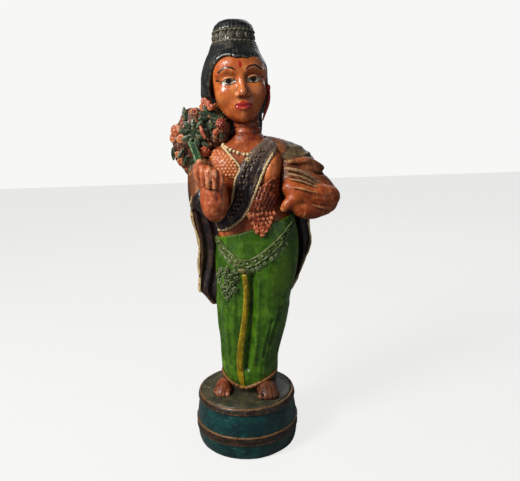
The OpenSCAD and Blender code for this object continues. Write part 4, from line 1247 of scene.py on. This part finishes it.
run = refine(SCARF, 6)
studs = []
for i, s in enumerate(run[4:-6:2]):
    for k in (-0.66, -0.32):
        studs.append((s[0] + s[2] * k + 0.7 * (i % 2), s[1] + 0.5 * k))
at = on_front(torso_form, studs, 2.9)
clay = Clay(*around(at, 2.5), 0.26)
for i, p in enumerate(at):
    clay.add(egg(p, (0.85, 0.8, 0.85)), 0.1)
sculpt("scarf_studs", clay, dark_cloth, {"dusty": unmarked}, ((1, 0.06),))



def garland_height(a, s, w):
    return 3.0 - 1.6 * (a / w) ** 2 + 0.25 * np.cos(a * 2.4 + 0.3 * s)


# The garland is a swag of overlapping petals that ends in a point of small flowers.
clay = laid(torso_form, GARLAND, 0.42, garland_height)
rng = np.random.default_rng(21)
petals = []
for j, z in enumerate(np.arange(123, 153, 3.1)):
    for x in np.arange(4, 31, 2.5):
        petals.append((x + (j % 2) * 1.25 + rng.uniform(-0.4, 0.4), z + rng.uniform(-0.8, 0.8)))
petals = np.array(petals)
across, half, _ = lane(GARLAND, petals[:, 0], petals[:, 1])
petals = petals[across < half - 0.8]
across, half, _ = lane(GARLAND, petals[:, 0], petals[:, 1])
lifts = 2.8 - 1.6 * (across / half) ** 2
at = on_front(torso_form, petals) - np.column_stack([0 * lifts, lifts, 0 * lifts])
for i, p in enumerate(at):
    m = axes_from((0.2 * math.sin(i), -1, 0.2), 90 + 16 * math.sin(i * 2.3))
    clay.add(egg(p, (1.9 + 0.4 * math.sin(i * 1.7), 0.85, 0.8), m), 0.5)
sculpt("garland", clay, garland_look, uneven=((2.4, 0.25), (1.2, 0.08)))

tips = []
for j, z in enumerate((131.2, 128.4, 125.6, 122.8, 120.2, 117.8)):
    half = (8.4, 7.6, 6.2, 4.6, 3.0, 0.4)[j]
    for x in np.arange(-half, half + 0.1, 2.7):
        tips.append((14.4 + x + 0.4 * math.sin(7 * x + z), z + 0.4 * math.cos(5 * x)))
at = on_front(torso_form, tips, 3.0)
clay = Clay(*around(at, 4.4), 0.3)
for i, p in enumerate(at):
    clay.add(egg(p + [0, 1.2, 0], (2.0, 1.6, 2.0)), 0.9)
    facing = (0.2 * math.sin(i), -1, 0.2 * math.cos(i * 1.3))
    flower(clay, p, facing, 1.6 + 0.25 * math.sin(i * 2.2), 5, i * 23, 0.5)
sculpt("garland_end", clay, garland_tip, uneven=((2.2, 0.25), (1.1, 0.10)))

# ---------------------------------------------------------------- cloak and shawl
def cloak_form(x, y, z):
    left, right, front, back = (np.interp(z, CLOAK[:, 0], CLOAK[:, k]) for k in (1, 2, 3, 4))
    cx, rx, deep = (left + right) / 2, (right - left) / 2, back - front
    px, py = x - cx, y - front
    turn = np.arctan2(py * rx / deep, px)
    wave = (1.0 * np.sin(10 * turn + 0.9 * np.sin(z * 0.045)) + 0.5 * np.sin(23 * turn - z * 0.03)
            + 0.6 * np.sin(6 * turn + z * 0.05)) * ramp(182, 168, z) * ramp(0.0, 6, py)
    rx, deep = rx - 0.8, deep - 1.2
    k0 = np.sqrt((px / rx) ** 2 + (py / deep) ** 2)
    k1 = np.sqrt((px / rx ** 2) ** 2 + (py / deep ** 2) ** 2)
    d = k0 * (k0 - 1) / (k1 + 1e-6) - wave
    face = front + 0.9 * np.sin(px * 0.85 + z * 0.05) - 0.05 * (np.abs(px) - rx * 0.8)
    return soft_max(d, face - y, 2.4)


def trim(x, y, z):
    left, front = (np.interp(z, CLOAK[:, 0], CLOAK[:, k]) for k in (1, 3))
    inner = np.interp(z, [62, 90, 125], [28, 39, 38])
    wide = 1.0 + 2 * ramp(140, 150, z) * ramp(165, 158, z)
    near = np.minimum(np.abs(x - left - 3.0) - wide, np.abs(x - inner) - 2.0)
    return near + ramp(2, 6, y - front) * 6


clay = form_clay(cloak_form, (-42, -2, 60), (55, 28, 184), 0.72, floor=62, top=182.5)
sculpt("cloak", clay, cloak_look, {"trim": trim}, ((9, 0.35), (2.2, 0.10)))


def cloak_edge(node, column, low, high, shift, radius, last=()):
    rows = CLOAK[(CLOAK[:, 0] >= low) & (CLOAK[:, 0] <= high)]
    path = np.column_stack([rows[:, column] + shift, rows[:, 3] - 0.4, rows[:, 0]])
    path = np.vstack([path, *last])
    gone = np.concatenate([[0], np.cumsum(np.linalg.norm(np.diff(path, axis=0), axis=1))])
    at = np.arange(0, gone[-1], 0.6)
    base = np.column_stack([np.interp(at, gone, path[:, k]) for k in range(3)])
    base[:, 0] += 0.5 * np.sin(at * 0.21)
    clay = Clay(base.min(0) - 3.4, base.max(0) + 3.4, 0.36)
    thick = radius * (0.85 + 0.2 * np.sin(at * 0.37) + 0.12 * np.sin(at * 0.9))
    clay.rope(base + [0, 0.4, 0], thick, 0.4, 1)
    clay.rope(base + [0.5, -0.35, 0], thick * 0.45, 0.6, 1)
    sculpt(node, clay, gold, uneven=((3, 0.2), (1.4, 0.08)))


cloak_edge("cloak_edge_right", 1, 72, 134, 1.3, 1.1,
           ([(-33.6, -9.5, 139)], [(-31.8, -14.6, 143.4)], [(-29.4, -18.2, 147)], [(-26.6, -20.2, 149.6)]))
cloak_edge("cloak_edge_left", 2, 72, 125, -1.3, 0.9)

clay = Clay((12, -16, 150), (52, 8, 186), 0.45)
clay.rope([(14, 2, 177), (19, 1, 174.6), (28, 0, 170.4), (37, 0, 165.6), (43, -1, 161), (45.6, -1, 158.6)],
          [3.4, 8.4, 10.6, 11.4, 10.6, 9.6], 0.5)
px, pz = clay.x + 0 * clay.z, clay.z + 0 * clay.x
ripple = 0
for z0, tilt, tall in ((177, 0.35, 0.5), (173, 0.45, 0.7), (169.4, 0.5, 0.5), (165, 0.6, 0.8)):
    ripple = ripple + tall * hill(pz - (z0 - tilt * (px - 28) + 0.02 * (px - 30) ** 2), 1.2)
clay.d = clay.d - ripple * facing_front(clay.y, 4, 5)
clay.rope([(31, -12.6, 165.2), (36, -12.6, 165), (42, -10.6, 164.4), (47.5, -6.5, 162.5)],
          [0.7, 0.8, 0.8, 0.5], 0.6)
clay.keep(clay.y - 4, 0.5)


def patches(x, y, z):
    p = np.column_stack([x, y, z])
    return 0.12 - 0.34 * cloudy(p, 9, 40) - 0.2 * hill(np.hypot(x - 27, z - 177), 6)


sculpt("shoulder_drape", clay, drape_look, {"patch": patches}, ((5, 0.35), (1.6, 0.12)))

# ---------------------------------------------------------------- arms and hands
def limb_clay(stations, cell, pad=3.0):
    s = np.array(stations, float)
    r = s[:, 3:4]
    clay = Clay((s[:, :3] - r).min(0) - pad, (s[:, :3] + r).max(0) + pad, cell)
    return clay.rope(s[:, :3], s[:, 3], 0.5)


def wrap(clay, stations, places, amount, spread):
    """Folds or grooves that run round a limb at places from 0 to 1 along it."""
    run = refine(stations, 8)
    for t, a in zip(places, np.ones(len(places)) * amount):
        i = min(int(t * (len(run) - 1)), len(run) - 2)
        c, n = run[i, :3], unit(run[i + 1, :3] - run[i, :3])
        off = (clay.x - c[0]) * n[0] + (clay.y - c[1]) * n[1] + (clay.z - c[2]) * n[2]
        near = (clay.x - c[0]) ** 2 + (clay.y - c[1]) ** 2 + (clay.z - c[2]) ** 2 < (run[i, 3] * 1.5) ** 2
        clay.d = clay.d - a * hill(off, spread) * near
    return clay


clay = wrap(limb_clay(RIGHT_UPPER, 0.45), RIGHT_UPPER, (0.3, 0.45, 0.6), -0.5, 0.9)
sculpt("right_upper_arm", clay, raised_sleeve,
       {"cloak": lambda x, y, z: z - np.minimum(149 + 1.21 * (x + 27.2), 152)})
clay = Clay((-30, -42, 124), (-3, -12, 164), 0.42)
clay.add(egg((-16.8, -26.5, 142), (9.2, 9.4, 14.4), axes_from((0.06, -0.14, 1))), 1)
clay.rope([(-16.8, -27.5, 149), (-17.6, -29, 156)], [7.6, 6.4], 3)
clay.rope([(-19.4, -37.4, 153), (-20.4, -36.6, 148), (-20.2, -35.4, 143)], [0.6, 0.8, 0.4], 2.0, 4, cut=True)
clay.rope([(-15.6, -38.0, 154), (-14.6, -36.8, 149), (-14.0, -35.8, 143)], [0.7, 0.8, 0.4], 2.0, 4, cut=True)
clay.rope([(-25, -27, 132), (-18, -33.4, 130.4), (-10, -32, 132.5)], [0.3, 0.5, 0.3], 1.2, 4, cut=True)
clay.cut(egg((-21.4, -36.4, 150), (1.3, 1.5, 2.0)), 1.6)
sculpt("right_forearm", clay, arm, uneven=((6, 0.35), (2.0, 0.14)))

clay = Clay((-31, -44, 144), (-3, -20, 172), 0.36)
clay.add(egg((-18.2, -30.4, 156), (6.8, 6.2, 6.6)), 1)
fingers = [([(-12.4, -32, 160.4), (-11.6, -35.4, 158.4), (-11.4, -36.6, 154.6), (-12.4, -35.8, 151)], 2.0),
           ([(-16.4, -32, 162.0), (-15.4, -36.4, 160.2), (-15.2, -37.6, 156.0), (-15.8, -36.8, 151.6)], 2.1),
           ([(-20.2, -31, 163.6), (-19.2, -36.2, 161.8), (-19.2, -37.6, 157.2), (-19.8, -36.8, 152.0)], 2.1),
           ([(-23.6, -29, 164.4), (-22.8, -34.4, 163.2), (-22.8, -36.0, 158.6), (-23.0, -35.2, 153.4)], 2.0)]
for path, r in fingers:
    clay.rope(path, [r * 0.95, r * 1.1, r, r * 0.8], 1.5)
clay.rope([(-24.6, -28.5, 152), (-26.0, -31.0, 158), (-26.2, -32.4, 163), (-24.6, -33.0, 167.4)],
          [2.6, 2.6, 2.5, 2.1], 1.6)
sculpt("right_hand", clay, arm, uneven=((5, 0.3), (1.8, 0.14)))

clay = limb_clay(LEFT_UPPER, 0.5, 8.0)
clay.rope([(36, -3.5, 163), (44, -5.5, 160), (50, -4, 158)], [7.4, 7.6, 6.4], 2)
clay.rope([(33, -6, 160), (36, -9, 150), (42, -10, 142)], [8.5, 9.5, 9.5], 3)
clay.rope([(34, -13.6, 165), (44, -11.6, 165.6), (52, -7.5, 163), (57.4, -3, 160)], [1.6, 2.6, 2.6, 1.8], 1.6)
clay.rope([(33, -17.0, 162), (42, -15.4, 160.6), (52, -10.6, 157), (59, -4, 155)], 0.8, 1.6, 4, cut=True)
sculpt("left_upper_arm", clay, sleeve, uneven=((6, 0.4), (1.6, 0.12)))

clay = Clay((20, -34, 118), (74, 6, 158), 0.46)
clay.rope([(61.0, -7.5, 140.6), (55, -10, 140.4), (47, -13, 142), (39, -15.6, 145), (34, -16.4, 148)],
          [8.0, 9.8, 9.4, 8.2, 5.6], 0.5)
clay.rope([(58, -9.6, 133.6), (50, -13, 133), (43, -16, 133.6), (37, -18.4, 136)], [5.6, 7.0, 6.6, 4.4], 2.0)
clay.rope([(37, -19.5, 141), (32, -20.6, 138), (29, -20.6, 134.6)], [4.4, 3.6, 2.4], 2.6)
clay.rope([(60, -19.6, 134), (50, -24.0, 136.4), (42, -25.6, 139.6), (35, -25.4, 144.4)],
          [0.5, 1.0, 1.2, 0.9], 1.8, 4, cut=True)
for path in ([(34, -24.4, 149), (42, -24.6, 147.4), (51, -21.4, 144.4), (60, -17, 142.6)],
             [(47, -24.0, 137), (54, -20.4, 134.4), (61, -15.4, 133)]):
    clay.rope(path, [0.3, 0.8, 0.8, 0.4][:len(path)], 1.6)
sculpt("left_forearm", clay, shaded_arm, uneven=((6, 0.4), (1.6, 0.12)))

clay = Clay((24, -30, 132), (68, 4, 166), 0.38)
RIDGES = (
    ([(30.6, -18.4, 161), (38, -19.6, 159.6), (47, -16.4, 155.4), (55, -12.4, 149.6), (61, -6, 147)], 1.15),
    ([(31.6, -19.6, 157.6), (39, -20.8, 156), (48, -18, 151.6), (56, -14, 146.4), (62.6, -7.6, 144)], 0.9),
    ([(33, -20.4, 154), (41, -22.0, 152.4), (50, -19.4, 148.2), (58, -14.6, 143.8)], 0.8))
for path, r in RIDGES:
    clay.rope(path, [r * 0.7] + [r] * (len(path) - 2) + [r * 0.6], 0.8)
sculpt("left_armlet", clay, armlet_look, uneven=((4, 0.4), (1.4, 0.14)))

# ---------------------------------------------------------------- flower spray
SPRAY_AT, SPRAY_R = np.array([-30.2, -3, 181.6]), np.array([14.0, 8.6, 20.4])
SPRAY = egg(SPRAY_AT, SPRAY_R, np.array(Matrix.Rotation(math.radians(12), 3, "Y")))
FILLER = egg((-14.5, -4.5, 189), (9.5, 6.5, 13.0))


def inside_spray(x, y, z):
    """Distance to the two lumps that the spray is pressed on."""
    return np.minimum(SPRAY.distance(x, y, z), FILLER.distance(x, y, z))


def on_spray(x, z, lift=0.0):
    """A place on the front of the spray's mass and the way it faces."""
    ys = np.linspace(-20, -1, 200)
    inside = inside_spray(np.full(200, float(x)), ys, np.full(200, float(z))) < 0
    y = ys[inside.argmax()] if inside.any() else -4.0
    n = unit(((x - SPRAY_AT[0]) / 14.4 ** 2, min(-0.05, (y + 3) / 8.6 ** 2), (z - 181) / 20.4 ** 2))
    return np.array([x, y, z]) + n * lift, n


def patch(x, z, x0, z0, wide, tall):
    """Below zero on an oval of the front view about x0, z0."""
    return np.hypot((x - x0) / wide, (z - z0) / tall) - 1


clay = Clay((-48.5, -16, 154), (-3, 8, 206), 0.46)
clay.add(SPRAY, 1)
clay.add(FILLER, 3)
for centre, radii in (((-31.5, -3, 163.5), (6.4, 5.5, 7.0)), ((-31.0, -3, 197.5), (6.4, 5.5, 5.5)),
                      ((-9.5, 0.5, 182.5), (5.5, 4.5, 7.0))):
    clay.add(egg(centre, radii), 3)
rng = np.random.default_rng(5)
for k in range(300):
    x, z = rng.uniform(-45, -7), rng.uniform(160, 203)
    p, n = on_spray(x, z, 0.0)
    side = 1 if k % 3 else -1
    p[1] = p[1] if side > 0 else -6 - p[1]
    m = axes_from(n * [1, side, 1], rng.uniform(0, 360))
    size = rng.uniform(0.8, 1.3)
    if inside_spray(*(np.array([v]) for v in p))[0] < 0.3:
        clay.add(egg(p, (2.2 * size, 1.1 * size, 0.9), m), 0.7)


def olive(x, y, z):
    """Below zero where the mass is a dusty green: about the wreath and the fan, and in clouds."""
    crowd = np.minimum(patch(x, z, -18, 194, 8.5, 9.5), patch(x, z, -29.6, 185, 8.5, 8.5))
    return np.minimum(3.0 * crowd, 1.0) - 3.0 * cloudy(np.column_stack([x, y, z]), 8, 60)


sculpt("bouquet_ground", clay, spray_look, {"olive": olive}, ((4, 0.35), (1.2, 0.14)))

clay = Clay((-37, -27, 160), (-22, -9, 184), 0.32)
for k in range(3):
    clay.rope([(-27.4 + 1.4 * k, -23.4 + 0.3 * k, 166.4), (-28.6 + 1.5 * k, -20.4, 170.5),
               (-30.4 + 1.5 * k, -17.0, 175.2), (-32.2 + 1.7 * k, -14.6, 179.6)], [1.0, 1.1, 1.1, 0.8], 0.4)
sculpt("bouquet_stems", clay, stem_look, uneven=((1.6, 0.16),))


def leaf(clay, at, normal, roll, length, width):
    """A pointed leaf with a raised midrib and pressed veins."""
    m = axes_from(normal, roll)
    out, side, up = m[:, 0], m[:, 1], m[:, 2]
    clay.add(egg(at + out * length * 0.50, (length * 0.56, width * 0.5, 0.95), m), 0.2)
    clay.add(egg(at + out * length * 0.88, (length * 0.26, width * 0.22, 0.6), m), 0.8)
    tip = out * length
    clay.rope([at + up * 0.85, at + tip * 0.5 + up * 1.15, at + tip + up * 0.5], 0.24, 0.15, 2)
    for s in (-1, 1):
        clay.rope([at + tip * 0.32 + up * 1.05, at + tip * 0.62 + side * s * width * 0.3 + up * 0.8],
                  0.13, 0.2, 1, cut=True)


# x, height, roll, length and width of each leaf: a wreath, a fan and single leaves
leaves = []
for angle in range(10, 370, 40):
    t = math.radians(angle)
    leaves.append((-29.6 + 3.6 * math.cos(t), 186.2 + 3.8 * math.sin(t), angle, 5.2, 3.4))
for angle in (-12, 22, 56, 90, 124, 158, 190):
    t = math.radians(angle)
    leaves.append((-18.4 + 0.8 * math.cos(t), 196.2 + 0.8 * math.sin(t), angle, 7.0, 3.8))
leaves += [(-36, 176.4, 235, 7, 3.0), (-34.6, 171.4, 245, 7, 3), (-43.2, 177.4, 262, 8, 3.4),
           (-24.6, 179.6, -30, 5, 2.8), (-34.6, 194.6, 96, 8, 3.4), (-32, 165, 255, 6, 2.8),
           (-13.4, 186, -60, 5, 2.6), (-22.2, 188.4, -75, 5, 2.6)]
clay = Clay((-48.5, -20, 154), (-8, 2, 206), 0.34)
for i, (x, z, roll, length, width) in enumerate(leaves):
    p, n = on_spray(x, z, 1.1 + 0.4 * math.sin(i * 2.1))
    lean = 0.25 * np.array([math.sin(i * 3.3), 0, math.cos(i * 2.7)])
    leaf(clay, p, unit(n + [0, -0.6, 0] + lean), roll, length, width)
sculpt("bouquet_leaves", clay, leaf_look, uneven=((2.4, 0.3), (0.9, 0.12)))

blossoms = [(-41.4, 188.2, 4.0), (-38.0, 182.6, 3.0), (-43.4, 183.4, 3.0), (-38.4, 167.4, 3.2),
            (-40.6, 172.4, 2.4), (-35.4, 163.4, 2.4), (-29, 199.8, 2.6), (-33.4, 199.4, 2.2),
            (-23.2, 202.6, 2.8), (-20.0, 204.2, 2.4), (-14.6, 203.0, 2.4), (-12.4, 187.6, 2.2)]
clay = Clay((-49, -20, 153), (-7, 1, 208), 0.36)
for i, (x, z, r) in enumerate(blossoms):
    p, n = on_spray(x, z, 0.7)
    n = unit(n + [0, -0.5, 0])
    clay.add(egg(p - n, (r * 0.75, r * 0.75, r * 0.6)), 0.8)
    flower(clay, p, n, r, 5 + i % 2, i * 31, 0.8)


def red_blossoms(x, y, z):
    return np.minimum(patch(x, z, -35.4, 163.4, 2.4, 2.4), patch(x, z, -31, 199.6, 5.6, 2.6))


def red_buds(x, y, z):
    return np.minimum(patch(x, z, -23.2, 186.4, 3.2, 5.6), patch(x, z, -12, 191.2, 5, 5))


sculpt("bouquet_blossoms", clay, blossom_look, {"crimson": red_blossoms},
       ((2.4, 0.4), (0.9, 0.14)))

clay = Clay((-29, -21, 167), (-3, -2, 206), 0.32)
clay.rope([(-24.6, -13.2, 190), (-23.4, -14.0, 186.6), (-21.8, -14.2, 182.8)], [0.9, 1.5, 1.0], 0.4)
for x, z, r in ((-23.4, 174.2, 3.8), (-15.4, 186.0, 2.2), (-12.0, 191.2, 3.4)):
    p, n = on_spray(x, z, 1.4)
    clay.add(egg(p, r * 0.92), 0.3)
    for k in range(30):
        t, h = 2.39996 * k, 1 - 2 * (k + 0.5) / 30
        w = math.sqrt(1 - h * h)
        clay.add(egg(p + r * 0.84 * np.array([w * math.cos(t), h, w * math.sin(t)]), r * 0.24), 0.4)
sculpt("bouquet_buds", clay, bud_look, {"crimson": red_buds}, ((1.8, 0.2),))


# ---------------------------------------------------------------- stage, camera and light
PALE = (0.93, 0.93, 0.92, 1)
HEART, CHEST = (0.0, 0.0, 0.16), (0.0, 0.0, 0.19)
# name, size across, power, colour, place, and where it points
LAMPS = (("key_light", 0.26, 10.5, (1.0, 0.97, 0.93), (-0.56, -0.44, 0.66), CHEST),
         ("fill_light", 0.9, 1.6, (0.86, 0.92, 1.0), (0.85, -0.65, 0.35), HEART),
         ("back_light", 0.7, 2.2, (0.95, 0.97, 1.0), (0.3, 0.9, 0.8), HEART))
CAMERA_AT, CAMERA_PITCH, CAMERA_ROLL = (0, -0.350, 0.215), 80, -1.93
SENSOR, LENS, SHIFT = 36, 34.39, (0.036, -0.0085)


def choose_for_camera(tree, others, camera, output):
    """Shows one shader to the camera and another to all other rays."""
    pick = tree.nodes.new("ShaderNodeMixShader")
    path = tree.nodes.new("ShaderNodeLightPath")
    tree.links.new(path.outputs["Is Camera Ray"], pick.inputs[0])
    tree.links.new(others, pick.inputs[1])
    tree.links.new(camera, pick.inputs[2])
    tree.links.new(pick.outputs[0], tree.nodes[output].inputs["Surface"])


def lay_floor():
    """A pale floor that throws little light back on the figure."""
    bpy.ops.mesh.primitive_plane_add(size=6, location=(0, 0, 0))
    floor = bpy.context.object
    floor.name = "floor"
    look = Look("floor_paint")
    tone = look.mix(look.noise(60, 4), paint(226, 224, 219), paint(238, 236, 231))
    look.feed(look.shader.inputs["Base Color"], tone)
    look.shader.inputs["Roughness"].default_value = 0.85
    dim = look.node("BsdfDiffuse", {"Color": (0.20, 0.20, 0.20, 1)})
    pale = look.node("Emission", {"Color": PALE})
    soft = look.node("MixShader", {0: 0.85, 1: look.shader.outputs[0], 2: pale[0]})
    choose_for_camera(look.tree, dim[0], soft[0], "Material Output")
    floor.data.materials.append(look.material)
    return floor


def hang_lamp(name, size, power, colour, place, aim):
    data = bpy.data.lights.new(name, "AREA")
    data.size, data.energy, data.color = size, power, colour
    lamp = bpy.data.objects.new(name, data)
    lamp.location = place
    lamp.rotation_euler = (Vector(aim) - Vector(place)).to_track_quat("-Z", "Y").to_euler()
    bpy.context.scene.collection.objects.link(lamp)
    return lamp


def light_studio():
    world = bpy.data.worlds.new("studio")
    world.use_nodes = True
    tree = world.node_tree
    glow, seen = tree.nodes["Background"], tree.nodes.new("ShaderNodeBackground")
    glow.inputs["Color"].default_value = (0.80, 0.84, 0.90, 1)
    glow.inputs["Strength"].default_value = 0.13
    seen.inputs["Color"].default_value = PALE
    choose_for_camera(tree, glow.outputs[0], seen.outputs[0], "World Output")
    bpy.context.scene.world = world
    bpy.context.scene.view_settings.view_transform = "Standard"


def set_camera():
    data = bpy.data.cameras.new("camera")
    data.sensor_width, data.lens, (data.shift_x, data.shift_y) = SENSOR, LENS, SHIFT
    camera = bpy.data.objects.new("camera", data)
    camera.matrix_world = (Matrix.Translation(CAMERA_AT)
                           @ Matrix.Rotation(math.radians(CAMERA_PITCH), 4, "X")
                           @ Matrix.Rotation(math.radians(CAMERA_ROLL), 4, "Z"))
    bpy.context.scene.collection.objects.link(camera)
    bpy.context.scene.camera = camera


lay_floor()
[hang_lamp(*lamp) for lamp in LAMPS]
light_studio()
set_camera()
